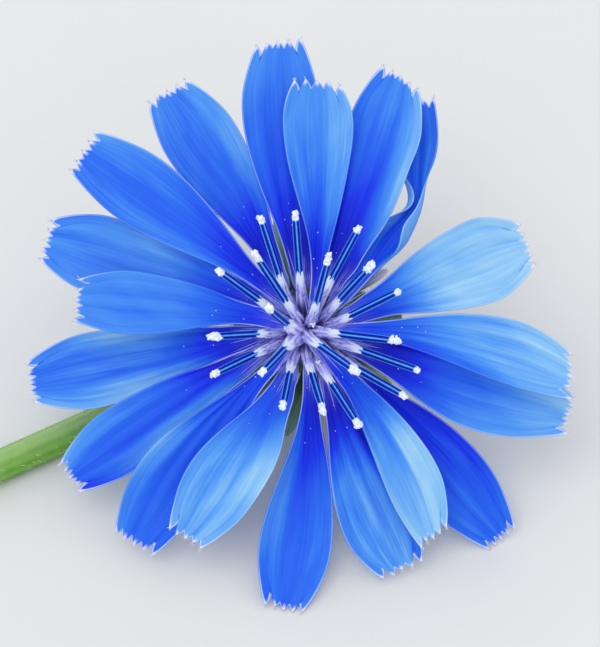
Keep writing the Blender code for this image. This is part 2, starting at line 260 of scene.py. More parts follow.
# A floret, by its fields
# seat: angle of the tube's foot on the receptacle, and the ring that it stands in
# mouth: angle, distance from the axis and height of the tube's mouth, where the ligule starts
# control: the point that the ligule's curve leaves the mouth for, and comes from to its tip
# tip: angle, distance and height of the middle of the teeth
# width: the ligule's greatest width; tip_width: its width across the teeth
# claw: how much further the right and the left edge stand out near the mouth, where the blades crowd
# column: angle, distance from the axis and steepness of the tip of the anther column
# pollen: length and width of the lump at the column's tip
# widest: how far out the ligule is widest
# skew: how far the leftmost tooth reaches past the middle one, and the rightmost falls short of it
# curl: half angle that the section turns up through, on the right and on the left
# fold: how much further the right and the left side fold up at mid-length
NO_FOLD = (0, 0)
Floret = namedtuple(
    "Floret",
    "seat mouth control tip width tip_width claw column pollen shade widest skew curl fold",
    defaults=(0.76, 0.0, (12, 12), NO_FOLD),
)

# The nineteen florets, clockwise from twelve o'clock
FLORETS = (
    Floret((96.6, "outer"), (96, 3.0, 0.0), (99, 11.0, 0.0), (95.3, 20.5, 0.3), 5.5, 3.1, (1.1, 0.1),
           (94.9, 8.4, 25), (0.85, 0.5), Shade(0.02, 0.36, 0.6, 0.1, 0.12, streaks=0.6), skew=-0.22),
    Floret((60.0, "inner"), (63, 1.3, 0.9), (83.5, 9.6, 0.85), (87.2, 17.5, 1.6), 5.0, 3.2, (0.25, -0.15),
           (72.5, 5.6, 45), (1.45, 0.52), Shade(0.12, 0.45, 0.65, 0.08, 0.24, since=0.1, flank=(0.05, 0.5)),
           widest=0.84, skew=0.25, curl=(14, 14)),
    Floret((68.9, "outer"), (63, 3.0, 0.0), (66, 11.0, -0.1), (69.3, 19.2, 0.4), 5.3, 2.8, (0.95, 0.4),
           (62.3, 8.2, 20), (0.5, 0.46), Shade(0.02, 0.36, 0.6, 0.0, 0.45, streaks=0.8),
           skew=0.45, curl=(14, 16)),
    Floret((41.2, "outer"), (39, 2.4, 0.0), (42.5, 12.0, -2.3), (65.1, 17.9, -2.5), 3.6, 3.55, (0.0, 0.5),
           (44.6, 6.7, 40), (1.1, 0.64), Shade(0.3, 0.5, 0.44, 0.3, 0.24, streaks=0.8),
           widest=0.9, skew=-0.2, curl=(16, 14), fold=(160, 150)),
    Floret((13.5, "outer"), (14, 2.5, 0.0), (22, 10.5, 0.5), (21.1, 16.8, 1.8), 6.1, 3.0, (0.35, 0.45),
           (22.3, 7.1, 40), (0.25, 0.34), Shade(0.32, 0.9, 0.92, -0.04, 0.0), curl=(14, 14)),
    Floret((0.0, "inner"), (354, 1.6, 0.9), (363, 10.5, 0.8), (350.1, 19.0, 2.0), 4.5, 2.9, (0.2, 0.1),
           (353.4, 6.6, 40), (1.1, 0.56), Shade(0.34, 0.69, 0.85, 0.06, -0.2, since=0.12), skew=-0.6),
    Floret((345.8, "outer"), (340, 3.1, 0.0), (338.5, 11.0, -0.6), (342.3, 19.9, -1.2), 5.55, 2.7, (0.2, 1.0),
           (340.5, 8.5, 21), (0.3, 0.36), Shade(0.0, 0.5, 0.81, -0.02, 0.08, twist=-0.08, streaks=0.8),
           widest=0.66),
    Floret((318.2, "outer"), (321, 3.6, 0.0), (317, 11.0, -1.2), (313.3, 20.8, -4.0), 5.35, 2.4, (0.4, 0.25),
           (326.5, 8.4, 38), (0.55, 0.45), Shade(0.03, 0.3, 0.5, -0.05, 0.0, streaks=1.2), widest=0.7),
    Floret((300.0, "inner"), (305, 0.9, 0.9), (313.5, 9.5, 0.6), (301.7, 17.3, 0.3), 4.2, 2.2, (0.15, 0.15),
           (321.2, 4.7, 54), (1.2, 0.6),
           Shade(0.26, 0.58, 0.82, 0.34, 0.12, since=0.3, twist=0.06, flank=(0.1, 0.25), streaks=0.9),
           skew=-0.41, curl=(45, 14)),
    Floret((290.5, "outer"), (294.5, 3.2, 0.0), (288, 11.0, -0.3), (292.2, 18.6, -1.6), 5.3, 3.0, (0.1, 0.8),
           (299.4, 7.8, 31), (0.85, 0.58), Shade(0.0, 0.69, 0.68, -0.33, -0.06, streaks=1.5),
           skew=0.1, curl=(12, 16)),
    Floret((262.8, "outer"), (276, 2.4, 0.0), (271.5, 11.0, -1.7), (265.6, 19.9, -0.62), 5.2, 2.7,
           (-0.1, 0.2), (282.6, 6.0, 50), (1.4, 0.52),
           Shade(0.06, 0.38, 0.45, 0.08, 0.26, twist=-0.12, flank=(0.0, 0.7)), curl=(14, 14)),
    Floret((235.0, "outer"), (248, 2.6, 0.0), (243, 10.0, 2.0), (240.0, 17.0, 1.0), 5.3, 2.6, (0.1, 0.82),
           (253.8, 5.7, 54), (0.95, 0.45), Shade(0.33, 0.74, 0.74, 0.19, -0.03, streaks=1.1),
           widest=0.68, curl=(16, 14)),
    Floret((240.0, "inner"), (221, 1.4, 0.9), (222, 10.0, -0.2), (231.4, 19.6, -1.5), 5.3, 3.1, (-0.35, 0.4),
           (224.4, 4.3, 61), (0.9, 0.52), Shade(0.25, 0.43, 0.45, 0.04, 0.34, since=0.35, streaks=0.9)),
    Floret((207.4, "outer"), (206, 3.0, 0.0), (208, 11.0, -1.5), (212.1, 20.0, -2.8), 4.8, 2.4, (0.3, 0.6),
           (205.7, 7.2, 40), (0.7, 0.5),
           Shade(0.06, 0.41, 0.43, 0.4, 0.1, twist=0.34, flank=(0.05, 0.7), streaks=0.8)),
    Floret((179.7, "outer"), (185, 2.5, 0.0), (190.5, 10.5, -2.5), (190.9, 20.3, -4.0), 5.5, 2.8, (0.5, 0.35),
           (184.0, 6.8, 40), (1.35, 0.6),
           Shade(0.08, 0.54, 0.53, 0.42, 0.3, since=0.1, flank=(0.1, 0.8), streaks=1.2)),
    Floret((180.0, "inner"), (168, 1.0, 0.9), (168, 9.0, 0.8), (172.5, 16.3, 1.4), 4.5, 2.9, (0.5, -0.05),
           (148.5, 3.0, 68), (0.8, 0.6), Shade(0.27, 0.57, 0.64, 0.05, 0.06, streaks=0.6), skew=0.15),
    Floret((152.0, "outer"), (148, 3.0, 0.0), (158, 11.0, -0.5), (160.8, 19.6, -0.6), 5.7, 2.9, (0.75, 0.8),
           (145.4, 7.5, 36), (0.75, 0.5), Shade(0.28, 0.7, 0.58, 0.07, 0.05, streaks=0.9)),
    Floret((120.0, "inner"), (123, 1.6, 0.9), (135.5, 10.5, 0.5), (141.2, 20.2, 0.8), 5.2, 3.2, (0.1, 0.05),
           (123.4, 6.6, 40), (1.35, 0.55), Shade(0.16, 0.44, 0.57, 0.16, 0.0, twist=0.15)),
    Floret((124.3, "outer"), (118, 3.2, 0.0), (115.5, 11.0, -1.5), (120.0, 19.7, -0.8), 5.4, 3.1, (0.33, 0.1),
           (111.5, 8.6, 22), (0.65, 0.5), Shade(0.0, 0.47, 0.62, 0.02, 0.26, since=0.12, streaks=0.9),
           skew=0.1),
)

# How strong the pale line along the right and the left edge is, by floret: partly the pale margin and partly
# a painted highlight along the edge, so it is fainter where the edge lies over a neighbour
FULL_MARGIN_AND_HIGHLIGHT = (1.0, 1.0)
MARGIN_AND_HIGHLIGHT = {
    2: (0.3, 0.6),
    6: (0.1, 1.0),
    9: (0.5, 0.5),
    12: (0.5, 1.0),
    13: (0.3, 1.0),
    14: (0.3, 1.0),
    16: (0.1, 0.1),
    18: (1.0, 0.3),
}

# Bracts: their leaf, then each row as distance from the axis and height, and as widths, from foot to tip.
# RIM_HAIR_SHARE of the hairs stand on the rims, and the others within BACK_HAIRS_WITHIN of the midline.
BRACT_THICKNESS = 0.4
BRACT_TAPER = 0.08
BRACT_MIDRIB = 0.05
BRACT_MIDRIB_SPREAD = 0.09
BRACT_SIDE_RIBS = 0.02
BRACT_RIB_RATE = 9
BRACT_RIM_SPAN = (0.82, 1.0)
BRACT_TIP_PALE_SPAN = (0.62, 0.92)
RIM_HAIR_SHARE = 0.6
BACK_HAIRS_WITHIN = 0.8
BRACT_HAIR_DEPTH = 0.12
BRACT_ROWS = 40
BRACT_ACROSS = np.linspace(-1, 1, 25)
INNER_BRACT_FOOT = ((2.95, -10.9), (3.05, -9.0), (3.4, -6.8), (3.95, -4.8), (4.75, -3.4))
INNER_BRACT_WIDTHS = (1.9, 2.0, 2.15, 1.95, 1.4, 0.9, 0.6)
INNER_BRACT_CURL = -24.0
INNER_BRACT_HOOK = (1.3, 0.35)
# angle of the foot, and angle, distance and height of the tip
INNER_BRACT_TIPS = (
    (327, 328, 7.3, -2.6),
    (12, 8, 7.0, -1.9),
    (57, 36, 7.3, -1.9),
    (102, 105, 8.2, -1.7),
    (147, 150, 7.2, -1.9),
    (192, 198, 7.2, -2.1),
    (237, 236, 7.0, -2.6),
    (282, 260, 7.7, -2.2),
)
# The pale of each inner bract's tip and rims: partly its own tone and partly painted light and shade, set per
# bract
INNER_BRACT_TIP_TONES_AND_LIGHT = (
    (236, 244, 140),
    (176, 196, 110),
    (255, 236, 230),
    (192, 255, 164),
    (170, 190, 110),
    (170, 190, 110),
    (176, 186, 120),
    (136, 168, 140),
)
OUTER_BRACT_PROFILE = (
    (3.1, -12.25), (3.85, -11.7), (4.05, -10.6), (4.2, -9.3), (4.6, -8.1), (5.4, -7.2), (6.3, -6.8),
)
OUTER_BRACT_WIDTHS = (1.5, 2.5, 3.1, 3.2, 2.7, 1.8, 0.7)
OUTER_BRACT_CURL = -26.0
OUTER_BRACT_ANGLES = (20, 92, 164, 236, 308)


def unit(vectors):
    """Each vector divided by its own length."""
    vectors = np.asarray(vectors, float)
    return vectors / np.linalg.norm(vectors, axis=-1, keepdims=True)


def polar(angle, distance, height=0.0):
    """A point of the head's frame from an angle in degrees, a distance from the axis and a height."""
    turn = math.radians(angle)
    return np.array([distance * math.cos(turn), distance * math.sin(turn), height])


TILT = math.radians(FACE_TILT)
HEAD_AXES = np.array(
    [
        [1.0, 0.0, 0.0],
        [0.0, math.cos(TILT), math.sin(TILT)],
        [0.0, -math.sin(TILT), math.cos(TILT)],
    ]
)
ALONG_STEM = -polar(STEM_HEADING, 1.0)
HEAD_AXIS = HEAD_AXES[2]
TURN = math.acos(float(ALONG_STEM @ HEAD_AXIS))
BEND_SIDE = unit(HEAD_AXIS - (HEAD_AXIS @ ALONG_STEM) * ALONG_STEM)
BEND_START = REST_TO_BEND * ALONG_STEM + STEM_RADIUS * UP
STEM_CUT = -REST_TO_CUT * ALONG_STEM + STEM_RADIUS * UP


def bend_points(turned):
    """Centres of the stem after it has turned through each angle in radians: a circle's arc."""
    turned = np.asarray(turned, float)[..., None]
    forward = BEND_RADIUS * np.sin(turned) * ALONG_STEM
    return BEND_START + forward + BEND_RADIUS * (1 - np.cos(turned)) * BEND_SIDE


THROAT = bend_points(TURN) + HEAD_LENGTH * HEAD_AXIS


def to_world(points):
    """Points of the head's frame, in the part's own frame."""
    return THROAT + np.asarray(points) @ HEAD_AXES


def resting(points):
    """The same points of the part's frame, with what would dip into the surface laid down on it."""
    return np.stack([points[..., 0], points[..., 1], np.maximum(points[..., 2], SURFACE_CLEARANCE)], -1)


# Curves and profiles

def rise(values, start, end):
    """0 up to start and 1 from end on. With s the share of the way between: 3 s squared less 2 s cubed."""
    share = np.clip((values - start) / (end - start), 0.0, 1.0)
    return share * share * (3 - 2 * share)


def fall(values, start, end):
    """1 up to start and 0 from end on: 1 less the rise."""
    return 1 - rise(values, start, end)


def bell(values, place, spread):
    """1 at the place, falling off on both sides as e to the minus square of the distance over the spread."""
    return np.exp(-(((values - place) / spread) ** 2))


def hum(values, seed, octaves=3):
    """A smooth wavering between about -1 and 1: a sum of sines, each finer and weaker than the last.

    The one numbered k, from 0 on, is the sine of values times 2.1 to the k plus a drawn angle, over 1.8 to
    the k. The sum is divided by 1.6."""
    rng = np.random.default_rng(seed)
    total = np.zeros_like(np.asarray(values, float))
    for octave in range(octaves):
        total += np.sin(values * 2.1**octave + rng.uniform(0, 2 * np.pi)) / 1.8**octave
    return total / 1.6


def steps(start, end, count):
    """Where each of count equal steps from start to end arrives."""
    return np.linspace(start, end, count + 1)[1:]


def quadratic(start, control, end, share):
    """Points of the quadratic curve that leaves start for control and comes from it to end."""
    share = np.asarray(share, float)[:, None]
    return (1 - share) ** 2 * start + 2 * share * (1 - share) * control + share**2 * end


def heading(start, control, end, share):
    """Where that curve heads: from control less start at its start to end less control at its end."""
    share = np.asarray(share, float)[:, None]
    return (1 - share) * (control - start) + share * (end - control)


def through(values, place):
    """A smooth curve through numbers or points that stand at places 0, 1, 2 and so on.

    Between two of them it is a cubic whose slopes at both are the central differences."""
    values = np.asarray(values, float)
    slopes = np.gradient(values, axis=0)
    low = np.clip(np.floor(place).astype(int), 0, len(values) - 2)
    t = (place - low).reshape(-1, *[1] * (values.ndim - 1))
    before = (1 + 2 * t) * (1 - t) ** 2 * values[low] + t * (1 - t) ** 2 * slopes[low]
    after = t**2 * (3 - 2 * t) * values[low + 1] + t**2 * (t - 1) * slopes[low + 1]
    return before + after


def leftward(directions):
    """The level unit vector to the left of each direction (u, v, n) of the head's frame: (-v, u, 0)."""
    directions = np.asarray(directions, float)
    return unit(np.stack([-directions[..., 1], directions[..., 0], 0 * directions[..., 0]], -1))


def spokes(turns, side, other):
    """Directions from side round to other: cosine of the turn times side plus sine of it times other."""
    return np.cos(turns)[..., None] * side + np.sin(turns)[..., None] * other


def arc(wide, angle, across):
    """Sideways and upward offsets on an arc as long as wide that has turned through angle at its rim.

    They are wide times the sine of angle times across, and wide times 1 less its cosine, both over angle."""
    lean = angle * across
    return wide * np.sin(lean) / angle, wide * (1 - np.cos(lean)) / angle


def sided(pairs, across):
    """Each row's right value where across is below 0, and its left value elsewhere."""
    return np.where(across < 0, pairs[:, :1], pairs[:, 1:])


def both_faces(values):
    """Values across the upper face, followed by the same values back across the lower face."""
    return np.concatenate([values, values[..., ::-1]], axis=-1)


# Meshes

def mesh_object(name, points, quads, triangles, material, attributes=None):
    """One mesh from points in millimetres of the part's frame, with one value per point and attribute."""
    mesh = bpy.data.meshes.new(name)
    quads = np.asarray(quads, np.int32).reshape(-1, 4)
    triangles = np.asarray(triangles, np.int32).reshape(-1, 3)
    corners = np.concatenate([quads.ravel(), triangles.ravel()])
    starts = np.concatenate([4 * np.arange(len(quads)), 4 * len(quads) + 3 * np.arange(len(triangles))])
    mesh.vertices.add(len(points))
    mesh.vertices.foreach_set("co", (np.asarray(points, float) * MM).ravel())
    mesh.loops.add(len(corners))
    mesh.loops.foreach_set("vertex_index", corners)
    mesh.polygons.add(len(starts))
    mesh.polygons.foreach_set("loop_start", starts.astype(np.int32))
    mesh.update(calc_edges=True)
    mesh.validate()
    mesh.shade_smooth()
    for key, values in (attributes or {}).items():
        if values.ndim == 1:
            mesh.attributes.new(key, "FLOAT", "POINT").data.foreach_set("value", values)
        else:
            mesh.attributes.new(key, "FLOAT_VECTOR", "POINT").data.foreach_set("vector", values.ravel())
    mesh.materials.append(material)
    made = bpy.data.objects.new(name, mesh)
    bpy.context.scene.collection.objects.link(made)
    return made


def ring_faces(rows, columns):
    """Faces of a closed tube of rings, its ends closed by fans round one extra point each.

    The points are row after row, then the middle of the first ring and that of the last."""
    row = np.arange(rows - 1)[:, None] * columns
    step = np.arange(columns)
    after = (step + 1) % columns
    quads = np.stack([row + step, row + after, row + after + columns, row + step + columns], -1)
    last = (rows - 1) * columns
    first_fan = np.stack([after, step, np.full(columns, rows * columns)], -1)
    last_fan = np.stack([last + step, last + after, np.full(columns, rows * columns + 1)], -1)
    return quads.reshape(-1, 4), np.concatenate([first_fan, last_fan])


def strap_faces(rows, columns):
    """Quads of a closed strap: its upper and lower faces, its sides and its two ends."""
    ring = 2 * columns
    row = np.arange(rows - 1)[:, None] * ring
    a = row + np.arange(ring)
    b = row + (np.arange(ring) + 1) % ring
    quads = np.stack([a, a + ring, b + ring, b], -1).reshape(-1, 4)
    step = np.arange(columns - 1)
    under = ring - 1 - step
    start = np.stack([step, step + 1, under - 1, under], -1)
    end = (rows - 1) * ring + np.stack([step, under, under - 1, step + 1], -1)
    return np.concatenate([quads, start, end])


def carried_frame(centres, first_side):
    """A side direction carried along a line of points without twisting, and the one square to both.

    At each point the side loses what of it has come to lie along the line, and is made unit again."""
    along = unit(np.gradient(centres, axis=0))
    sides = np.empty_like(along)
    side = np.asarray(first_side, float)
    for step, forward in enumerate(along):
        side = unit(side - (side @ forward) * forward)
        sides[step] = side
    return sides, np.cross(along, sides)


def tube(centres, radii, first_side):
    """A closed tube: radii holds one row per centre and one column per direction round it.

    A point is its centre plus its radius times its direction, square to the line of centres."""
    sides, others = carried_frame(centres, first_side)
    angles = 2 * np.pi * np.arange(radii.shape[1]) / radii.shape[1]
    rings = centres[:, None] + radii[..., None] * spokes(angles[None], sides[:, None], others[:, None])
    points = np.concatenate([rings.reshape(-1, 3), centres[:1], centres[-1:]])
    return points, *ring_faces(*radii.shape)


def tube_values(shape, **values):
    """Values at a tube's points, each given over its rings and then at the middle of either end."""
    return {key: np.append(np.broadcast_to(over, shape), ends) for key, (over, *ends) in values.items()}


def blade(
    centres, sides, half_widths, half_thickness, curls, across, relief, roundness=0.0, forward=0.0, sink=0.0
):
    """A strap whose section goes from round to thin and curled: rows along it, columns across.

    The thin section's middle is an arc of angle curl at each side, raised by relief and sink, and its two
    faces stand off it by the half thickness times the square root of 1 less 0.85 across to the fourth. The
    round one is an ellipse, drawn 80 degrees to each side of its top and of its foot. Each row mixes the two
    by roundness, and each column reaches forward. Half widths and curls hold a right and a left value per
    row. Returned as rows of upper points from right to left, then lower ones back."""
    along = unit(np.gradient(centres, axis=0))
    normals = unit(np.cross(along, sides))
    sides = np.cross(normals, along)
    half_thickness, round_share, forward = (
        np.asarray(values)[..., None] for values in (half_thickness, roundness, forward)
    )
    wide = sided(half_widths, across)
    angle = np.radians(sided(curls, across)) + NEARLY_FLAT
    lean = angle * across
    flat_x, flat_z = arc(wide, angle, across)
    flat_z = flat_z + relief + sink * (1 - round_share)
    round_x = wide * np.sin(np.radians(80) * across)
    round_z = half_thickness * np.cos(np.radians(80) * across)
    thick = half_thickness * np.sqrt(np.maximum(1 - 0.85 * across**4, 0.0))
    faces = []
    for face in (1, -1):
        x = round_share * round_x + (1 - round_share) * (flat_x - face * thick * np.sin(lean))
        z = round_share * face * round_z + (1 - round_share) * (flat_z + face * thick * np.cos(lean))
        points = centres[:, None] + x[..., None] * sides[:, None] + z[..., None] * normals[:, None]
        faces.append(points + forward * along[:, None])
    return np.concatenate([faces[0], faces[1][:, ::-1]], axis=1)


def hairs(roots, directions, lengths, radii, bend, seed):
    """Fine tapering hairs, each a three-sided cone of three rings and a tip.

    With s the share of its length, a hair's middle line is its root plus length times (s times its
    direction plus s squared times bend)."""
    rng = np.random.default_rng(seed)
    count = len(roots)
    directions = unit(directions)
    side = unit(np.cross(directions, unit(rng.normal(size=(count, 3)))))
    other = np.cross(directions, side)
    thin = HAIR_TAPER * np.broadcast_to(radii, count)[:, None]
    turn = 2 * np.pi * np.arange(3) / 3
    run = HAIR_PLACES[:, None] * directions[:, None] + HAIR_PLACES[:, None] ** 2 * bend[:, None]
    line = roots[:, None] + lengths[:, None, None] * run
    spoke = spokes(turn[None], side[:, None], other[:, None])
    rings = line[:, :, None] + thin[:, :, None, None] * spoke[:, None]
    tips = roots + lengths[:, None] * (directions + bend)
    points = np.concatenate([rings.reshape(count, 9, 3), tips[:, None]], axis=1).reshape(-1, 3)
    wall = np.array([[0, 1, 4, 3], [1, 2, 5, 4], [2, 0, 3, 5], [3, 4, 7, 6], [4, 5, 8, 7], [5, 3, 6, 8]])
    ends = np.array([[2, 1, 0], [6, 7, 9], [7, 8, 9], [8, 6, 9]])
    base = 10 * np.arange(count)[:, None, None]
    return points, (base + wall).reshape(-1, 4), (base + ends).reshape(-1, 3)


def icosahedron():
    """The twelve corners and twenty faces of a regular icosahedron of radius 1.

    A corner is (0, 1, golden ratio) with any signs, in any of three turns, and a face is any three corners
    that are all neighbours, taken in the order that makes it point outwards."""
    golden = (1 + 5**0.5) / 2
    neighbour_distance = 1.2
    signed = [(a, b) for a in (-1, 1) for b in (-golden, golden)]
    corners = unit([corner for a, b in signed for corner in ((0, a, b), (a, b, 0), (b, 0, a))])
    faces = np.array(list(combinations(range(12), 3)))
    first, second, third = np.moveaxis(corners[faces], 1, 0)
    edges = np.stack([first - second, second - third, third - first])
    faces = faces[np.linalg.norm(edges, axis=-1).max(axis=0) < neighbour_distance]
    first, second, third = np.moveaxis(corners[faces], 1, 0)
    outward = (np.cross(second - first, third - first) * first).sum(axis=1) > 0
    return corners, np.where(outward[:, None], faces, faces[:, [0, 2, 1]])


GRAIN_POINTS, GRAIN_FACES = icosahedron()


def balls(seats, sizes, unevenness, rng):
    """Little lumps on their seats: an icosahedron each, its corners moved in or out by a drawn share."""
    shares = rng.uniform(*unevenness, (len(seats), len(GRAIN_POINTS), 1))
    points = seats[:, None] + sizes[:, None, None] * GRAIN_POINTS * shares
    faces = len(GRAIN_POINTS) * np.arange(len(seats))[:, None, None] + GRAIN_FACES
    return points.reshape(-1, 3), faces.reshape(-1, 3)


# Materials

def srgb(red, green, blue):
    """Linear colour from the 0 to 255 values of a display."""
    shares = np.array([red, green, blue]) / 255
    linear = np.where(shares <= 0.04045, shares / 12.92, ((shares + 0.055) / 1.055) ** 2.4)
    return (*linear.tolist(), 1.0)


BLUES = (
    (0.0, srgb(2, 10, 190)),
    (0.25, srgb(6, 48, 228)),
    (0.5, srgb(34, 104, 232)),
    (0.7, srgb(76, 148, 235)),
    (0.85, srgb(123, 182, 235)),
    (1.0, srgb(164, 210, 236)),
)
# Anther blues: from the column's navy, darkest as painted shade in its grooves, to the azure of the painted
# highlight on its ridges
ANTHER_BLUES = (
    (0.0, srgb(2, 8, 128)),
    (0.45, srgb(4, 26, 176)),
    (0.75, srgb(30, 112, 228)),
    (1.0, srgb(90, 185, 246)),
)
# the violet of the painted shade low in the throat
THROAT_SHADE_COLOUR = srgb(58, 50, 160)
BRACT_GREENS = (srgb(52, 92, 30), srgb(120, 160, 66))


class Skin:
    """A material in the making. Each call below adds a node and returns its output, and finish ends it."""

    def __init__(self, name, roughness, specular=0.5):
        self.material = bpy.data.materials.new(name)
        self.material.use_nodes = True
        self.tree = self.material.node_tree
        self.shader = self.tree.nodes["Principled BSDF"]
        self.shader.inputs["Roughness"].default_value = roughness
        self.shader.inputs["Specular IOR Level"].default_value = specular

    def feed(self, socket, value):
        """Links a node's output to the socket, or sets the socket to a plain value."""
        if isinstance(value, bpy.types.NodeSocket):
            self.tree.links.new(value, socket)
        else:
            socket.default_value = value

    def node(self, kind, inputs=(), **settings):
        """A new node of that kind, with its settings made and its inputs fed by name or number."""
        node = self.tree.nodes.new(kind)
        for key, value in settings.items():
            setattr(node, key, value)
        for socket, value in dict(inputs).items():
            self.feed(node.inputs[socket], value)
        return node

    def maths(self, operation, *values, clamp=False):
        """One sum on numbers."""
        return self.node("ShaderNodeMath", enumerate(values), operation=operation, use_clamp=clamp).outputs[0]

    def times(self, first, second):
        """first times second."""
        return self.maths("MULTIPLY", first, second)

    def minus(self, first, second):
        """first less second."""
        return self.maths("SUBTRACT", first, second)

    def times_plus(self, first, second, third, clamp=False):
        """first times second plus third, kept between 0 and 1 if clamp is set."""
        return self.maths("MULTIPLY_ADD", first, second, third, clamp=clamp)

    def stretched(self, vector, factors):
        """A vector with each of its three numbers multiplied by its own factor."""
        return self.node("ShaderNodeVectorMath", {0: vector, 1: factors}, operation="MULTIPLY").outputs[0]

    def spread(self, value, low, high):
        """0 below low, 1 above high, and smooth in between."""
        inputs = {"Value": value, "From Min": low, "From Max": high}
        return self.node("ShaderNodeMapRange", inputs, interpolation_type="SMOOTHSTEP").outputs["Result"]

    def mix(self, factor, first, second):
        """The first colour where the factor is 0, and the second where it is 1."""
        return self.node("ShaderNodeMix", {0: factor, 6: first, 7: second}, data_type="RGBA").outputs[2]

    def ramp(self, factor, stops):
        """Colours by the factor, from stops of a place and a colour."""
        node = self.node("ShaderNodeValToRGB", {"Fac": factor})
        elements = node.color_ramp.elements
        while len(elements) < len(stops):
            elements.new(0.5)
        for element, (place, colour) in zip(elements, stops):
            element.position = place
            element.color = colour
        return node.outputs["Color"]

    def value(self, name):
        """The mesh's own value of that name, at each point."""
        return self.node("ShaderNodeAttribute", attribute_name=name).outputs["Fac"]

    def place(self):
        """The place on the piece, in metres."""
        return self.node("ShaderNodeTexCoord").outputs["Object"]

    def noise(self, place, scale, detail, roughness=0.5):
        """Noise that wavers round 0.5, scale times in each unit of the place."""
        inputs = {"Vector": place, "Scale": scale, "Detail": detail, "Roughness": roughness}
        return self.node("ShaderNodeTexNoise", inputs).outputs["Fac"]

    def finish(self, colour, height=None, strength=0.0, depth=0.0):
        """The material, with its colour and, where a height is given, a bump of that strength and depth."""
        self.feed(self.shader.inputs["Base Color"], colour)
        if height is not None:
            inputs = {"Height": height, "Strength": strength, "Distance": depth * MM}
            self.feed(self.shader.inputs["Normal"], self.node("ShaderNodeBump", inputs).outputs["Normal"])
        return self.material


def petal_skin():
    """Ligule blue: its tone with painted light and shade, bands and veins along the blade, with pale margins
    that carry a painted highlight, and white points of the teeth.

    The value blade holds the place across, the place along and the floret's number. The blue is read at
    light plus streaks times (0.7 of the broad bands, plus the fine ripples, less 0.14 of the four veins); the
    value light is partly the blue's own tone and partly painted light and shade. Over it lie lilac threads by
    lilac, the pale violet of the tube by tube, and a pale line just inside the edge, by rim, the distance to
    the edge in millimetres: partly the pale margin and partly a painted highlight along the edge. That line
    is 0.75 strong near the mouth, 0.4 times margin further out, and 0.5 stronger at the teeth."""
    skin = Skin("ligule blue", 0.55, 0.2)
    blade_place = skin.node("ShaderNodeAttribute", attribute_name="blade").outputs["Vector"]
    across, along, _ = skin.node("ShaderNodeSeparateXYZ", {"Vector": blade_place}).outputs
    bands = skin.noise(skin.stretched(blade_place, (3.0, 1.6, 7.3)), 1.1, 2.0)
    fine = skin.noise(skin.stretched(blade_place, (16.0, 4.0, 3.1)), 1.0, 3.0, 0.6)
    ripple = skin.minus(fine, 0.5)

    waver = skin.times_plus(ripple, 0.03, across)
    valley = skin.times(skin.maths("COSINE", skin.times(waver, 4 * math.pi)), -1.0)
    vein_strength = skin.times(skin.spread(along, 0.25, 0.6), skin.maths("ADD", bands, 0.1))
    veins = skin.times(skin.spread(valley, 0.86, 1.0), vein_strength)
    ripples = skin.times(ripple, skin.times_plus(skin.spread(along, 0.1, 0.5), 0.25, 0.17))
    shift = skin.times_plus(skin.minus(bands, 0.5), 0.7, ripples)
    shift = skin.minus(shift, skin.times(veins, 0.14))
    blue = skin.ramp(skin.times_plus(shift, skin.value("streaks"), skin.value("light"), clamp=True), BLUES)

    threads = skin.times(skin.value("lilac"), skin.spread(fine, 0.4, 0.62))
    blue = skin.mix(threads, blue, srgb(150, 152, 240))
    blue = skin.mix(skin.value("tube"), blue, srgb(206, 206, 232))

    # the pale line just inside the edge: partly the pale margin, partly a painted highlight along the edge
    rim = skin.value("rim")
    drop = skin.minus(0.75, skin.times(skin.value("margin"), 0.4))
    strength = skin.minus(0.75, skin.times(skin.spread(along, 0.08, 0.35), drop))
    strength = skin.times_plus(skin.spread(along, 0.85, 0.97), 0.5, strength)
    line = skin.minus(skin.spread(rim, 0.0, 0.02), skin.spread(rim, 0.05, 0.11))
    blue = skin.mix(skin.maths("MULTIPLY", line, strength, clamp=True), blue, srgb(190, 210, 253))

    peak = skin.maths("COSINE", skin.times(across, 4 * math.pi))
    point = skin.times(skin.spread(along, 0.972, 0.995), skin.spread(peak, 0.45, 0.95))
    blue = skin.mix(skin.times(point, 0.85), blue, srgb(236, 232, 250))
    return skin.finish(blue, skin.times_plus(fine, 0.5, valley), 0.25, 0.03)


def anther_skin():
    """Navy grooves between azure ridges by the crest value, which is painted shade in the grooves and a
    painted highlight along the ridges, on the column's dark blue; near white at foot and tip by pale.

    The sleeve's lilac follows lilac, paler along its fibres by fibre, and turns violet low in the throat by
    the throat shade value, which is painted shade."""
    skin = Skin("anther navy", 0.45, 0.2)
    grain = skin.noise(skin.place(), 5000.0, 2.0)
    colour = skin.ramp(skin.times_plus(grain, 0.25, skin.value("ridge")), ANTHER_BLUES)
    torn = skin.times_plus(grain, 0.5, skin.value("pale"))
    colour = skin.mix(skin.spread(torn, 0.6, 0.95), colour, srgb(232, 241, 255))
    strand = skin.mix(skin.spread(skin.value("fibre"), 0.1, 0.9), srgb(156, 148, 240), srgb(222, 218, 255))
    colour = skin.mix(skin.value("lilac"), colour, strand)
    colour = skin.mix(skin.value("deep"), colour, THROAT_SHADE_COLOUR)
    return skin.finish(colour, grain, 0.3, 0.03)


def pollen_skin():
    """Bluish white grains with a little shadow between them."""
    skin = Skin("pollen white", 0.7)
    grain = skin.noise(skin.place(), 3500.0, 2.0)
    colour = skin.ramp(grain, ((0.3, srgb(205, 222, 240)), (0.6, srgb(248, 252, 250))))
    return skin.finish(colour, grain, 0.5, 0.04)


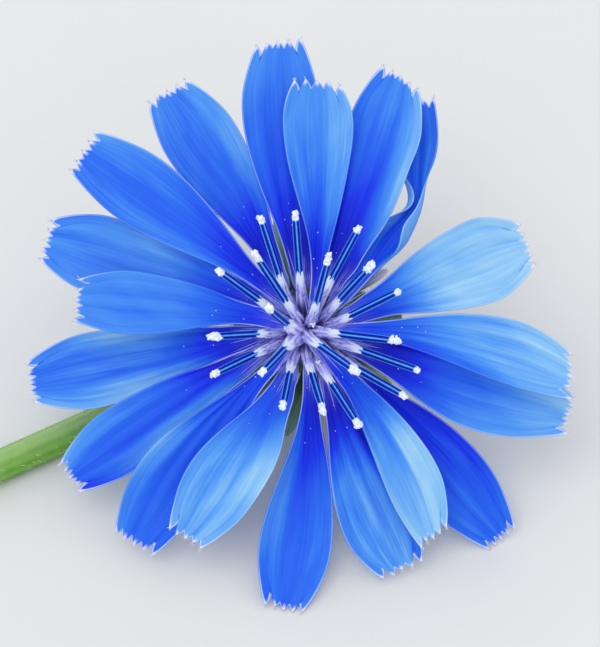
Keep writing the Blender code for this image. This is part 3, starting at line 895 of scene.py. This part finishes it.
def hair_skin(name, colour):
    """Thin pale hairs, down to a fifth darker by place, and violet low in the throat by the throat shade
    value, which is painted shade.
    """
    skin = Skin(name, 0.5)
    dark = (*(0.8 * part for part in colour[:3]), 1.0)
    mixed = skin.mix(skin.noise(skin.place(), 900.0, 1.0), dark, colour)
    return skin.finish(skin.mix(skin.value("deep"), mixed, THROAT_SHADE_COLOUR))


def leaf_skin(name, groove, fresh, pale):
    """Green tissue: groove to fresh by the value rib, with pale patches by place and paler by rim: the
    bracts' pale rims and tips, the inner bracts' tips partly painted light, and on the stem a painted
    highlight along one side and its pale cut.
    """
    skin = Skin(name, 0.5, 0.4)
    place = skin.place()
    grain = skin.noise(place, 1400.0, 4.0)
    patch = skin.noise(place, 220.0, 2.0)
    level = skin.times_plus(grain, 0.5, skin.minus(skin.value("rib"), 0.25))
    colour = skin.ramp(level, ((0.1, groove), (0.8, fresh)))
    colour = skin.mix(skin.times(skin.spread(patch, 0.45, 0.8), 0.4), colour, pale)
    return skin.finish(skin.mix(skin.value("rim"), colour, pale), grain, 0.35, 0.05)


def surface_skin():
    """A plain pale tabletop with the faintest mottling."""
    skin = Skin("pale tabletop", 0.8)
    grain = skin.noise(skin.place(), 40.0, 3.0)
    return skin.finish(skin.ramp(grain, ((0.3, srgb(224, 224, 222)), (0.7, srgb(226, 226, 224)))))


# Corollas

def ligule_path(floret):
    """The neck and the mouth of the tube, the level direction in which it bends out, and the start, the
    control point and the end of the ligule's curve."""
    mouth, control, tip = polar(*floret.mouth), polar(*floret.control), polar(*floret.tip)
    leave = unit((control - mouth) * [1, 1, 0])
    end = tip - TOOTH_REACH * unit(tip - control)
    return mouth - KNEE_DEPTH * UP, mouth, leave, mouth + KNEE_REACH * leave, control, end


def half_width(floret, share):
    """Right and left half width of the ligule.

    It rises from the mouth's radius to half the width at widest, and past there loses the rest of the way to
    the teeth's width as a power of the share left. Near the mouth it gains CLAW_EXTRA and each side's claw.
    The folded ligule is pinched where it sways, and its right side ears out."""
    start = MOUTH_RADIUS / (floret.width / 2)
    widening = start + (1 - start) * rise(share, WIDENS_FROM[floret.seat[1]], floret.widest)
    past = np.maximum(0.0, (share - floret.widest) / (1 - floret.widest))
    narrowing = 1 - (1 - floret.tip_width / floret.width) * past**NARROWING_POWER
    half = floret.width / 2 * widening * narrowing + CLAW_EXTRA * fall(share, 0, CLAW_EXTRA_UNTIL)
    crowded = CLAW_AT_MOUTH + (1 - CLAW_AT_MOUTH) * rise(share, 0, CLAW_FULL_AT)
    crowded = crowded * fall(share, *CLAW_FADE_SPAN)
    both = half[:, None] + crowded[:, None] * np.array(floret.claw)
    if floret.fold != NO_FOLD:
        both *= 1 - PINCH * bell(share, SWAY_AT, SWAY_SPREAD)[:, None]
        both[:, 0] += EAR * bell(share, EAR_AT, EAR_SPREAD)
    return both


def toothed_end(number):
    """How far each column reaches past the blade's end: five teeth, pointed with rounded flanks.

    With x the distance to the nearest tooth, 0 at its point and 1 halfway to the next, a column falls
    short of the point by depth times 0.6 x plus 0.4 x to the fourth. The outer notches are the deepest."""
    rng = np.random.default_rng(TEETH_SEED + number)
    place = (ACROSS + 1) / 2 * (TEETH - 1)
    tooth = np.rint(place).astype(int)
    notch = np.clip(np.floor(place), 0, TEETH - 2).astype(int)
    depths = np.array(NOTCH_DEPTHS) * rng.uniform(*NOTCH_DEPTH_RANGE, TEETH - 1)
    peaks = rng.uniform(*TOOTH_PEAK_RANGE, TEETH)
    x = 2 * np.abs(place - tooth)
    low = TOOTH_REACH - depths[notch]
    high = TOOTH_REACH + peaks[tooth]
    return high - (high - low) * (0.6 * x + 0.4 * x**4)


def ligule_tone_and_painted_light(floret, number, share, across):
    """Lightness of the blue at each place along and across: partly its own tone, partly painted light and
    shade.

    It goes from base to middle and on to tip along the ligule. Each flank adds its own painted light and
    shade, from since on and mostly gone before the teeth, and twist, a painted light that passes across the
    ligule, adds twist times across times 1 less twice the share."""
    shade = floret.shade
    along = shade.base + (shade.middle - shade.base) * rise(share, *MIDDLE_LIGHT_SPAN)
    along = along + (shade.tip - shade.middle) * rise(share, *TIP_LIGHT_SPAN)
    flanks = shade.left * rise(across, *shade.flank) + shade.right * rise(-across, *shade.flank)
    flanks = flanks * rise(share, shade.since, shade.since + FLANK_RISE)
    flanks = flanks * (1 - FLANK_FADING * rise(share, *FLANK_FADE_SPAN))
    passing = shade.twist * across * (1 - 2 * share)
    return along + flanks + passing + LIGHT_WAVER * hum(share * 9 + 2 * across, number)


def corolla(floret, number, material):
    """Ovary and tube, the bend at the mouth, and the ligule out to its five teeth, as one closed strap.

    The tube is straight, and the bend and the ligule are quadratic curves. The section is round in the tube,
    goes flat round the bend, and then curls up by curl and, round mid-length, by fold. Its relief is ribs,
    the cosine of 4 pi times across, and a ruffle that wavers near the rims. The value rim is the lesser way
    to the edge: straight to the side, or to the teeth at right angles to their slope."""
    neck, mouth, leave, out, control, tip = ligule_path(floret)
    foot = polar(floret.seat[0], SEAT_RADIUS[floret.seat[1]], RECEPTACLE_TOP + SEAT_GAP)
    down = np.linspace(0, 1, TUBE_ROWS)
    knee = steps(0, 1, KNEE_ROWS)
    share = np.concatenate([steps(0, TEETH_FROM, BLADE_ROWS), steps(TEETH_FROM, 1, TOOTH_ROWS)])
    out_share = np.concatenate([np.zeros(TUBE_ROWS + KNEE_ROWS), share])

    left = leftward(heading(out, control, tip, share))
    middle = quadratic(out, control, tip, share)
    if floret.fold != NO_FOLD:
        middle = middle - FOLD_SWAY * bell(share, SWAY_AT, SWAY_SPREAD)[:, None] * left
    straight = foot + down[:, None] * (neck - foot)
    centres = np.concatenate([straight, quadratic(neck, mouth, out, knee), middle])
    sides = np.concatenate([np.tile(leftward(leave), (TUBE_ROWS + KNEE_ROWS, 1)), left])

    tube_radius = TUBE_RADIUS * (1 + OVARY_BULGE * bell(down, OVARY_AT, OVARY_SPREAD))
    tube_radius = tube_radius + FLARE * rise(down, *FLARE_SPAN)
    half = half_width(floret, share)
    widths = np.concatenate([
        np.stack([tube_radius, tube_radius], -1),
        tube_radius[-1] + knee[:, None] * (half[0] - tube_radius[-1]),
        half,
    ])
    thin = BLADE_THICKNESS / 2 * (1 - TIP_THINNING * rise(share, TIP_THINS_FROM, 1))
    thickness = np.concatenate([tube_radius, tube_radius[-1] + knee * (thin[0] - tube_radius[-1]), thin])
    roundness = np.concatenate([np.ones(TUBE_ROWS), 1 - knee, 0 * share])

    folding = bell(out_share[:, None], np.array(FOLD_AT), np.array(FOLD_SPREAD))
    curling = rise(out_share, 0, CURLED_UP_AT)[:, None]
    curls = curling * np.array(floret.curl) + folding * np.array(floret.fold)
    teeth = toothed_end(number)
    forward = floret.skew * ACROSS * rise(out_share, SKEWS_FROM, 1)[:, None]
    forward = forward + teeth * rise(out_share, TEETH_FROM, 1)[:, None]
    ribs = RIB_RELIEF * np.cos(4 * np.pi * ACROSS) * rise(out_share, 0, RIBS_FULL_AT)[:, None]
    ruffle = RUFFLE * hum(out_share[:, None] * RUFFLE_RATE + 3 * np.sign(ACROSS), number + RUFFLE_SEED)
    ruffle = ruffle * rise(np.abs(ACROSS), 0.5, 1) * rise(out_share, *RUFFLE_SPAN)[:, None]
    relief = ribs + ruffle
    rings = blade(centres, sides, widths, thickness, curls, ACROSS, relief, roundness, forward, -BLADE_SINK)

    strides = np.linalg.norm(np.diff(rings[:, : len(ACROSS)], axis=0), axis=2)
    to_end = np.concatenate([np.cumsum(strides[::-1], axis=0)[::-1], np.zeros((1, len(ACROSS)))])
    slope = np.gradient(teeth, ACROSS * floret.tip_width / 2)
    to_side = (1 - np.abs(ACROSS)) * sided(widths, ACROSS)
    rim = np.minimum(to_side, to_end / np.sqrt(1 + slope**2))
    across, along = np.broadcast_arrays(both_faces(ACROSS), out_share[:, None])
    # the blue's own tone with painted light and shade set per ligule; the underside takes a share of it
    light = ligule_tone_and_painted_light(floret, number, along, across)
    light[:, len(ACROSS):] = UNDERSIDE_LIGHT + UNDERSIDE_SHARE * light[:, len(ACROSS):]
    tube_share = np.concatenate([1 - 0.4 * down, 0.6 * (1 - knee), 0 * share])
    values = {
        "blade": np.stack([across, along, np.full(along.shape, number)], -1).reshape(-1, 3),
        "light": light.ravel(),
        "streaks": np.full(light.size, BAND_STRENGTH * floret.shade.streaks),
        # strength of the pale edge line at each side: partly the pale margin, partly painted highlight
        "margin": np.interp(across, (-1, 1), MARGIN_AND_HIGHLIGHT.get(number, FULL_MARGIN_AND_HIGHLIGHT)).ravel(),
        "rim": both_faces(rim).ravel(),
        "tube": np.repeat(tube_share, 2 * len(ACROSS)),
        "lilac": (0.6 * fall(along, 0, 0.02) + 0.35 * fall(along, 0, 0.16)).ravel(),
    }
    points = resting(to_world(rings.reshape(-1, 3)))
    return mesh_object(f"ligule_{number:02d}", points, strap_faces(*rim.shape), [], material, values)


# Anther columns, pollen and hairs

def anther_frame(floret):
    """Start, direction and length of the straight anther column.

    It starts over the mouth, clear of the solid ligule, rises by its steepness, and is as long as brings its
    tip to its distance from the axis."""
    angle, distance, steepness = floret.column
    slope = math.radians(steepness)
    start = polar(*floret.mouth)
    start[2] += SOLID_THICKNESS / 2 + SEAT_GAP + SOLID_COLUMN_RADIUS * math.cos(slope)
    level = polar(angle, distance) - start * [1, 1, 0]
    run = np.linalg.norm(level)
    forward = math.cos(slope) * level / run + math.sin(slope) * UP
    return start, forward, run / math.cos(slope)


def sleeve_curve(floret):
    """Start, control point and end of the lilac sleeve's curve.

    It comes up between the tubes, nearer the axis than the mouth, and ends along the column's direction."""
    start, forward, _ = anther_frame(floret)
    angle, distance, height = floret.mouth
    root = polar(angle, max(SLEEVE_NEAREST, SLEEVE_INWARD * distance), height - SLEEVE_DEPTH)
    return root, start - SLEEVE_BEND * np.linalg.norm(start - root) * forward, start


def anther_column(floret, number, material):
    """Five fused anthers as ridges of a straight column, on a paler sleeve that curves down the throat.

    Radius: the column's, more at the foot and down the sleeve and less at the tip, times 1 less GROOVE_DEPTH
    times the groove, plus the relief of the sleeve's fibres. With c the size of the cosine of 2.5 times the
    angle, the groove is 1 less c to the power 0.7, and the crest value c cubed, painted highlight on the
    ridges and painted shade in the grooves. A column that stands steep is stout at its foot. The distance is
    measured from the column's start and is below 0 in the sleeve."""
    start, forward, length = anther_frame(floret)
    length = length - POLLEN_LAP * floret.pollen[0]
    anthers = np.linspace(FOOT_LENGTH + 0.05, length, COLUMN_ROWS)
    straight = np.concatenate([steps(0, FOOT_LENGTH, FOOT_ROWS), anthers])
    sleeve = quadratic(*sleeve_curve(floret), np.linspace(0, 1, SLEEVE_ROWS))
    reach = np.cumsum(np.linalg.norm(np.diff(sleeve, axis=0), axis=1))
    distance = np.concatenate([[-reach[-1]], reach - reach[-1], straight])[:, None]
    angles = np.linspace(0, 2 * np.pi, COLUMN_COLUMNS, endpoint=False)
    crest = np.abs(np.cos(ANTHERS / 2 * angles))
    swelling = FOOT_SWELL * fall(distance, 0, FOOT_LENGTH)
    profile = 1 + swelling + SLEEVE_SWELL * rise(-distance, 0, SLEEVE_SWELLS_OVER)
    profile = profile * (1 - TIP_TAPER * rise(distance / length, TIP_TAPERS_FROM, 1))
    steep = rise(floret.column[2], *STOUT_STEEPNESS)
    stout = 1 + STOUTNESS * steep * fall(distance, *STOUT_FADE_SPAN)
    fibre = 0.5 + 0.5 * hum(FIBRES * angles + np.sin(1.3 * distance + number), number, 2)
    fibrous = FIBRE_RELIEF * fall(distance, *FIBRE_FADE_SPAN) * (fibre - 0.5)
    relief = fibrous - GROOVE_DEPTH * (1 - crest**0.7)
    radii = COLUMN_RADIUS * profile * stout * (1 + relief)
    centres = np.concatenate([sleeve, start + straight[:, None] * forward])
    points, quads, triangles = tube(centres, radii, UP)
    frayed = distance + FRAYING * np.sin(ANTHERS * angles + number) + FINE_FRAYING * np.sin(11 * angles)
    pale = fall(frayed, *FOOT_PALE_SPAN)
    tip = rise(distance, length - TIP_PALE_SPAN[0], length - TIP_PALE_SPAN[1])
    # painted shade, darker further down the sleeve
    shaded = SLEEVE_SHADE * rise(-distance - 0.25 * fibre, *SLEEVE_SHADE_SPAN)
    values = tube_values(
        radii.shape,
        # painted highlight on the crests, painted shade in the grooves
        ridge=(0.9 * crest**3, 0.5, 0.5),
        pale=(np.maximum(pale, 0.8 * tip), 1.0, 1.0),
        lilac=(0.9 * fall(frayed, *LILAC_FADE_SPAN), 1.0, 0.0),
        fibre=(fibre, 0.5, 0.5),
        deep=(shaded, SLEEVE_SHADE, 0.0),
    )
    return mesh_object(f"anther_column_{number:02d}", to_world(points), quads, triangles, material, values)


def blocky(values):
    """Each value between -1 and 1 raised to the power LUMP_SQUARE, its sign kept."""
    return np.sign(values) * np.abs(values) ** LUMP_SQUARE


def pollen_lump(floret, number, material):
    """The pollen round the stigma: a wrinkled, squarish lump with grains sitting on it.

    With t the angle from its top and a the angle round it, a point lies, in shares of the half width and
    half length, at the radius times (blocky sin t blocky cos a, blocky sin t blocky sin a, blocky cos t). The
    radius is LUMP_SIZE plus two crossing waves."""
    start, forward, length = anther_frame(floret)
    long, wide = floret.pollen
    extent = np.array([wide, wide, long]) / 2
    rng = np.random.default_rng(POLLEN_SEED + number)
    side = unit(np.cross(forward, UP))
    axes = np.stack([side, np.cross(side, forward), forward])
    t = np.linspace(0, np.pi, LUMP_ROWS + 2)[1:-1, None]
    a = np.linspace(0, 2 * np.pi, LUMP_COLUMNS, endpoint=False)[None]
    radius = LUMP_SIZE + 0.1 * np.sin(2 * a + 3 * t + number) + 0.08 * np.sin(5 * t - 3 * a + number)
    top = blocky(np.cos(t)) * np.ones_like(a)
    lump = np.stack([blocky(np.sin(t)) * blocky(np.cos(a)), blocky(np.sin(t)) * blocky(np.sin(a)), top], -1)
    lump = (radius[..., None] * lump * extent).reshape(-1, 3)
    ends = LUMP_SIZE * extent * [[0, 0, 1], [0, 0, -1]]
    count = int(GRAINS_PER_MM * wide)
    seats = unit(rng.normal(size=(count, 3))) * extent * rng.uniform(0.7, 1.0, (count, 1))
    grains, grain_faces = balls(seats, rng.uniform(*GRAIN_SIZES, count), (0.6, 1.35), rng)
    points = np.concatenate([lump, ends, grains]) @ axes + start + (length - long / 2) * forward
    quads, triangles = ring_faces(LUMP_ROWS, LUMP_COLUMNS)
    triangles = np.concatenate([triangles, grain_faces + len(lump) + len(ends)])
    # the axes are left-handed, so every face is turned round
    return mesh_object(f"pollen_{number:02d}", to_world(points), quads[:, ::-1], triangles[:, ::-1], material)


def loose_pollen(material):
    """Grains fallen on the ligules round the columns, each a little ball, and two heaps in the throat."""
    rng = np.random.default_rng(LOOSE_POLLEN_SEED)
    seats = []
    for floret in FLORETS:
        _, _, _, out, control, tip = ligule_path(floret)
        share = rng.uniform(0.05, 0.4, LOOSE_GRAINS)
        aside = rng.uniform(-0.35, 0.35, (LOOSE_GRAINS, 1)) * half_width(floret, share).mean(axis=1)[:, None]
        seats.append(quadratic(out, control, tip, share) + aside * leftward(tip - out) + 0.02 * UP)
    seats += [heap + rng.normal(size=(HEAP_GRAINS, 3)) * HEAP_SPREAD for heap in HEAPS]
    seats = np.concatenate(seats)
    sizes = rng.uniform(*LOOSE_GRAIN_SIZES, len(seats))
    sizes[-HEAP_GRAINS * len(HEAPS):] = HEAP_GRAIN_SIZE
    points, faces = balls(seats, sizes, (0.7, 1.2), rng)
    return mesh_object("loose_pollen", to_world(points), [], faces, material)


def throat_hairs(floret, number, material):
    """The fringe round the sleeve, and long strands out over the foot of the ligule.

    A fringe hair stands off the sleeve's middle line and points up along it, turned a little outwards. A
    strand leaves the mouth the way the ligule does. The throat shade value darkens, as painted shade, what
    stands low on the sleeve."""
    rng = np.random.default_rng(THROAT_SEED + number)
    _, mouth, leave, _, _, _ = ligule_path(floret)
    curve = sleeve_curve(floret)
    share = rng.uniform(0.1, 1.0, FRINGE.count)
    ahead = unit(heading(*curve, share))
    side = unit(np.cross(ahead, UP))
    spoke = spokes(rng.uniform(0, 2 * np.pi, FRINGE.count), side, np.cross(side, ahead))
    roots = quadratic(*curve, share) + FRINGE_STANDS_OFF * spoke
    roots = roots + 0.5 * rng.uniform(size=(FRINGE.count, 1)) * ahead
    directions = 1.8 * ahead + 0.3 * spoke + 0.3 * rng.normal(size=(FRINGE.count, 3))

    lateral = rng.uniform(-1, 1, (STRANDS.count, 1)) * leftward(leave)
    from_mouth = rng.uniform(-0.5, 0.3, (STRANDS.count, 1)) * leave
    lifted = rng.uniform(0.15, 0.5, (STRANDS.count, 1)) * UP
    rising = rng.uniform(-0.02, 0.2, (STRANDS.count, 1)) * UP
    roots = np.concatenate([roots, mouth + from_mouth + STRAND_SPREAD * lateral + lifted])
    directions = np.concatenate([directions, leave + 0.3 * lateral + rising])
    lengths = np.concatenate([rng.uniform(*kind.lengths, kind.count) for kind in (FRINGE, STRANDS)])
    radii = np.concatenate([np.full(kind.count, kind.radius) for kind in (FRINGE, STRANDS)])
    droop = np.concatenate([0.08 * spoke, np.tile(-STRAND_DROOP * UP, (STRANDS.count, 1))])
    points, quads, triangles = hairs(roots, directions, lengths, radii, droop, number)
    # painted shade on the fringe, darker low on the sleeve
    deep = np.concatenate([0.6 * fall(share, 0, 0.6), np.zeros(STRANDS.count)])
    values = {"deep": np.repeat(deep, len(points) // len(roots))}
    return mesh_object(f"throat_hairs_{number:02d}", to_world(points), quads, triangles, material, values)


def tooth_hairs(floret, number, material):
    """White bristles round the points of the teeth, on the arc of the ligule's end."""
    rng = np.random.default_rng(BRISTLE_SEED + number)
    _, _, _, _, control, tip = ligule_path(floret)
    along = unit(tip - control)
    left = leftward(along)
    up = np.cross(along, left)
    tooth = np.repeat(np.linspace(-1, 1, TEETH), BRISTLES_PER_TOOTH.count)
    angle = np.radians(np.where(tooth < 0, *floret.curl)) + NEARLY_FLAT
    x, z = arc(floret.tip_width / 2, angle, tooth)
    forward = floret.skew * tooth + TOOTH_REACH - 0.12
    roots = tip + x[:, None] * left + (z - BLADE_SINK)[:, None] * up + forward[:, None] * along
    roots = roots + rng.normal(size=roots.shape) * BRISTLE_SCATTER
    directions = along + 0.6 * rng.normal(size=roots.shape) + 0.3 * up
    lengths = rng.uniform(*BRISTLES_PER_TOOTH.lengths, len(roots))
    points, quads, triangles = hairs(roots, directions, lengths, BRISTLES_PER_TOOTH.radius, 0 * roots, number)
    return mesh_object(f"tooth_hairs_{number:02d}", resting(to_world(points)), quads, triangles, material)


# Bracts and stem

def bract(name, path, widths, curl, material):
    """A green leaf along a smoothed path, with a raised midrib, side ribs and a thin pale rim.

    The path and the widths are the smooth curves through their few given values, and over BRACT_TAPER the
    width closes to the tip as a square root. The relief, towards the back, is a narrow bell along the
    midline and the cosine of BRACT_RIB_RATE times across. The leaf pales to its rims and near its tip."""
    fine = np.linspace(0, len(path) - 1, BRACT_ROWS)
    share = fine[:, None] / fine[-1]
    path = through(path, fine)
    half = through(widths, fine)[:, None] / 2 * np.sqrt(np.clip((1 - share) / BRACT_TAPER, 0.12, 1.0))
    side_ribs = BRACT_SIDE_RIBS * np.cos(BRACT_RIB_RATE * BRACT_ACROSS)
    relief = -BRACT_MIDRIB * bell(BRACT_ACROSS, 0, BRACT_MIDRIB_SPREAD) - side_ribs
    rings = blade(path, leftward(path), np.repeat(half, 2, axis=1), BRACT_THICKNESS / 2,
                  np.array([[curl, curl]]), BRACT_ACROSS, relief)
    across = both_faces(BRACT_ACROSS)
    rib = 0.4 + 0.35 * bell(across, 0, 0.12) + 0.1 * np.cos(BRACT_RIB_RATE * across)
    rim = 0.55 * rise(np.abs(across), *BRACT_RIM_SPAN) + 0.85 * rise(share, *BRACT_TIP_PALE_SPAN)
    values = {"rib": np.tile(rib, BRACT_ROWS), "rim": np.clip(rim, 0, 1).ravel()}
    faces = strap_faces(BRACT_ROWS, len(BRACT_ACROSS))
    return mesh_object(name, to_world(rings.reshape(-1, 3)), faces, [], material, values)


def bract_hairs(name, path, widths, curl, material, seed):
    """Stiff little hairs, most of them out from the rims of a bract and the others off its back."""
    rng = np.random.default_rng(seed)
    count = BRACT_HAIRS.count
    place = rng.uniform(0.3, len(path) - 1.02, count)
    centre = through(path, place)
    along = unit(through(path, place + 0.01) - centre)
    side = leftward(centre)
    normal = unit(np.cross(along, side))
    at_rim = rng.uniform(size=count) < RIM_HAIR_SHARE
    rims = np.sign(rng.normal(size=count))
    across = np.where(at_rim, rims, rng.uniform(-BACK_HAIRS_WITHIN, BACK_HAIRS_WITHIN, count))
    x, z = arc(through(widths, place) / 2, math.radians(curl), across)
    roots = centre + x[:, None] * side + (z - BRACT_HAIR_DEPTH)[:, None] * normal
    directions = np.where(at_rim[:, None], across[:, None] * side, -normal) + 0.5 * along
    directions = directions + 0.2 * rng.normal(size=(count, 3))
    lengths = rng.uniform(*BRACT_HAIRS.lengths, count)
    points, quads, triangles = hairs(roots, directions, lengths, BRACT_HAIRS.radius, 0 * roots, seed)
    return mesh_object(name, to_world(points), quads, triangles, material)


def inner_bract_path(foot_angle, tip_angle, tip_distance, tip_height):
    """Points from foot to tip: the common foot, then a hook out to the tip, swung over to the tip's angle."""
    before_tip = (tip_distance - INNER_BRACT_HOOK[0], tip_height - INNER_BRACT_HOOK[1])
    profile = (*INNER_BRACT_FOOT, before_tip, (tip_distance, tip_height))
    lean = rise(np.arange(len(profile)), 1, len(profile) - 1)
    angles = foot_angle + lean * (tip_angle - foot_angle)
    return [polar(angle, *place) for angle, place in zip(angles, profile)]


def stem(material):
    """The cut stem on the surface, its bend up into the head, and the receptacle, with fine ribs.

    Radius: the stem's, which swells round the bend, and then the receptacle's, less STEM_SINK, plus the rib
    height times the cosine of STEM_RIBS times the angle. The cut end is a little dished. The value rim paints
    a highlight along one side of the stem, and pales its cut."""
    straight_rows, bend_rows, cup_rows = STEM_ROWS
    dish = STEM_CUT + np.array([[CUT_DISH], [0.0]]) * ALONG_STEM
    run = BEND_START - 0.2 * ALONG_STEM - STEM_CUT
    straight = STEM_CUT + steps(0, 1, straight_rows - 1)[:, None] ** 0.9 * run
    cup = through(RECEPTACLE, np.linspace(0, len(RECEPTACLE) - 1, cup_rows))
    bend = np.linspace(0, 1, bend_rows)
    centres = np.concatenate([dish, straight, bend_points(TURN * bend), to_world(cup[:, 1:] * UP)])
    radius = np.full(len(centres), STEM_RADIUS)
    radius[0] *= CUT_CORE
    radius[-cup_rows - bend_rows:-cup_rows] += BEND_SWELL * rise(bend, 0, 1)
    radius[-cup_rows:] = cup[:, 0]
    height = np.full(len(centres), STEM_RIB_HEIGHT)
    height[-cup_rows:] *= CUP_RIB_SHARE
    angles = np.linspace(0, 2 * np.pi, STEM_COLUMNS, endpoint=False)
    rib = np.cos(STEM_RIBS * angles)
    radii = (radius - STEM_SINK)[:, None] + height[:, None] * rib
    points, quads, triangles = tube(centres, radii, np.cross(ALONG_STEM, UP))
    # rim: a painted highlight along one side of the stem, and the paler flesh of its cut
    highlight_and_cut = np.tile(0.5 * bell(np.degrees(angles), STEM_HIGHLIGHT_AT, STEM_HIGHLIGHT_SPREAD), (len(centres), 1))
    highlight_and_cut[:2] = 0.35
    values = tube_values(radii.shape, rib=(0.5 + 0.1 * rib, 0.6, 0.5), rim=(highlight_and_cut, 0.7, 0.2))
    return mesh_object("stem_skin", points, quads, triangles, material, values)


def stem_hairs(material):
    """Sparse soft hairs along the upper side of the stem."""
    place_seed, turn_seed = STEM_HAIR_SEEDS
    rng = np.random.default_rng(place_seed)
    place = rng.uniform(0.02, 0.97, STEM_HAIRS.count)
    spoke = spokes(rng.uniform(-1.9, 1.9, STEM_HAIRS.count), UP, np.cross(ALONG_STEM, UP))
    roots = STEM_CUT + place[:, None] * (BEND_START - STEM_CUT) + (STEM_RADIUS - STEM_SINK) * spoke
    directions = spoke + 0.5 * ALONG_STEM + 0.25 * rng.normal(size=roots.shape)
    lengths = rng.uniform(*STEM_HAIRS.lengths, len(roots))
    points, quads, triangles = hairs(roots, directions, lengths, STEM_HAIRS.radius, 0 * roots, turn_seed)
    return mesh_object("stem_hairs", points, quads, triangles, material)


# Studio

def matrix_of(turn, place):
    """A placing matrix from three axes as columns and a place in metres."""
    matrix = np.eye(4)
    matrix[:3, :3] = turn
    matrix[:3, 3] = place
    return Matrix(matrix.tolist())


def lamp():
    """A distant, broad lamp that shines on the face."""
    data = bpy.data.lights.new("window", "SUN")
    data.energy = LAMP_STRENGTH
    data.angle = math.radians(LAMP_SOFTNESS)
    made = bpy.data.objects.new("window", data)
    bpy.context.scene.collection.objects.link(made)
    back = unit(LAMP_TOWARDS) @ HEAD_AXES
    right = unit(np.cross(UP, back))
    made.matrix_world = matrix_of(np.stack([right, np.cross(back, right), back], 1), 0.3 * UP)


def camera_at_face():
    """A camera that looks straight into the face, so far off that the image's pixels keep their scale."""
    camera = bpy.data.objects.new("camera", bpy.data.cameras.new("camera"))
    bpy.context.scene.collection.objects.link(camera)
    bpy.context.scene.camera = camera
    across = (IMAGE_CENTRE[0] - THROAT_PIXEL[0]) * MM_PER_PIXEL
    upward = (THROAT_PIXEL[1] - IMAGE_CENTRE[1]) * MM_PER_PIXEL
    camera.matrix_world = matrix_of(HEAD_AXES.T, to_world([across, upward, CAMERA_DISTANCE]) * MM)
    camera.data.sensor_width = SENSOR
    camera.data.lens = SENSOR * CAMERA_DISTANCE / (IMAGE_HEIGHT * MM_PER_PIXEL)
    camera.data.clip_start = 0.01
    camera.data.clip_end = 10.0


def studio():
    """A pale floor, a soft sky and one broad lamp, with the camera looking straight into the face."""
    corners = FLOOR_REACH * np.array([[-1, -1, 0], [1, -1, 0], [1, 1, 0], [-1, 1, 0]]) - FLOOR_DROP * UP
    floor = mesh_object("floor", corners, [[0, 1, 2, 3]], [], surface_skin())
    world = bpy.data.worlds.new("soft sky")
    bpy.context.scene.world = world
    world.use_nodes = True
    world.node_tree.nodes["Background"].inputs["Color"].default_value = SKY_COLOUR
    world.node_tree.nodes["Background"].inputs["Strength"].default_value = SKY_STRENGTH
    lamp()
    camera_at_face()
    bpy.context.scene.view_settings.view_transform = "Standard"


def dress(piece, slot, *nodes):
    """Makes a piece ride on the flower and stand for its nodes, which it hides. The slot is not used."""
    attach(piece, "root")
    if nodes:
        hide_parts(*nodes)


def main():
    """Makes and dresses every piece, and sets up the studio."""
    petal, navy, white = petal_skin(), anther_skin(), pollen_skin()
    fringe = hair_skin("throat lilac", srgb(156, 164, 255))
    bristle = hair_skin("bristle white", srgb(240, 240, 245))
    green = leaf_skin("bract green", *BRACT_GREENS, srgb(190, 205, 130))
    # its pale colour also paints the stem's highlight
    stalk = leaf_skin("stem green", srgb(68, 126, 30), srgb(130, 184, 68), srgb(180, 208, 146))
    for number, floret in enumerate(FLORETS, 1):
        dress(corolla(floret, number, petal), "petal", f"corolla_{number:02d}")
        dress(anther_column(floret, number, navy), "anther", f"anthers_{number:02d}")
        dress(pollen_lump(floret, number, white), "anther")
        dress(throat_hairs(floret, number, fringe), "petal")
        dress(tooth_hairs(floret, number, bristle), "petal")
    dress(loose_pollen(white), "anther")
    for number, (tip, colour) in enumerate(zip(INNER_BRACT_TIPS, INNER_BRACT_TIP_TONES_AND_LIGHT), 1):
        form = (inner_bract_path(*tip), INNER_BRACT_WIDTHS, INNER_BRACT_CURL)
        name = f"inner_bract_{number}"
        leaf = leaf_skin(f"bract green {number}", *BRACT_GREENS, srgb(*colour))
        dress(bract(f"{name}_leaf", *form, leaf), "bract", name)
        dress(bract_hairs(f"{name}_hairs", *form, bristle, number), "bract")
    for number, angle in enumerate(OUTER_BRACT_ANGLES, 1):
        form = ([polar(angle, *place) for place in OUTER_BRACT_PROFILE], OUTER_BRACT_WIDTHS, OUTER_BRACT_CURL)
        name = f"outer_bract_{number}"
        dress(bract(f"{name}_leaf", *form, green), "bract", name)
        dress(bract_hairs(f"{name}_hairs", *form, bristle, OUTER_BRACT_SEED + number), "bract")
    dress(stem(stalk), "stem", "stem")
    dress(stem_hairs(bristle), "stem")
    studio()


main()
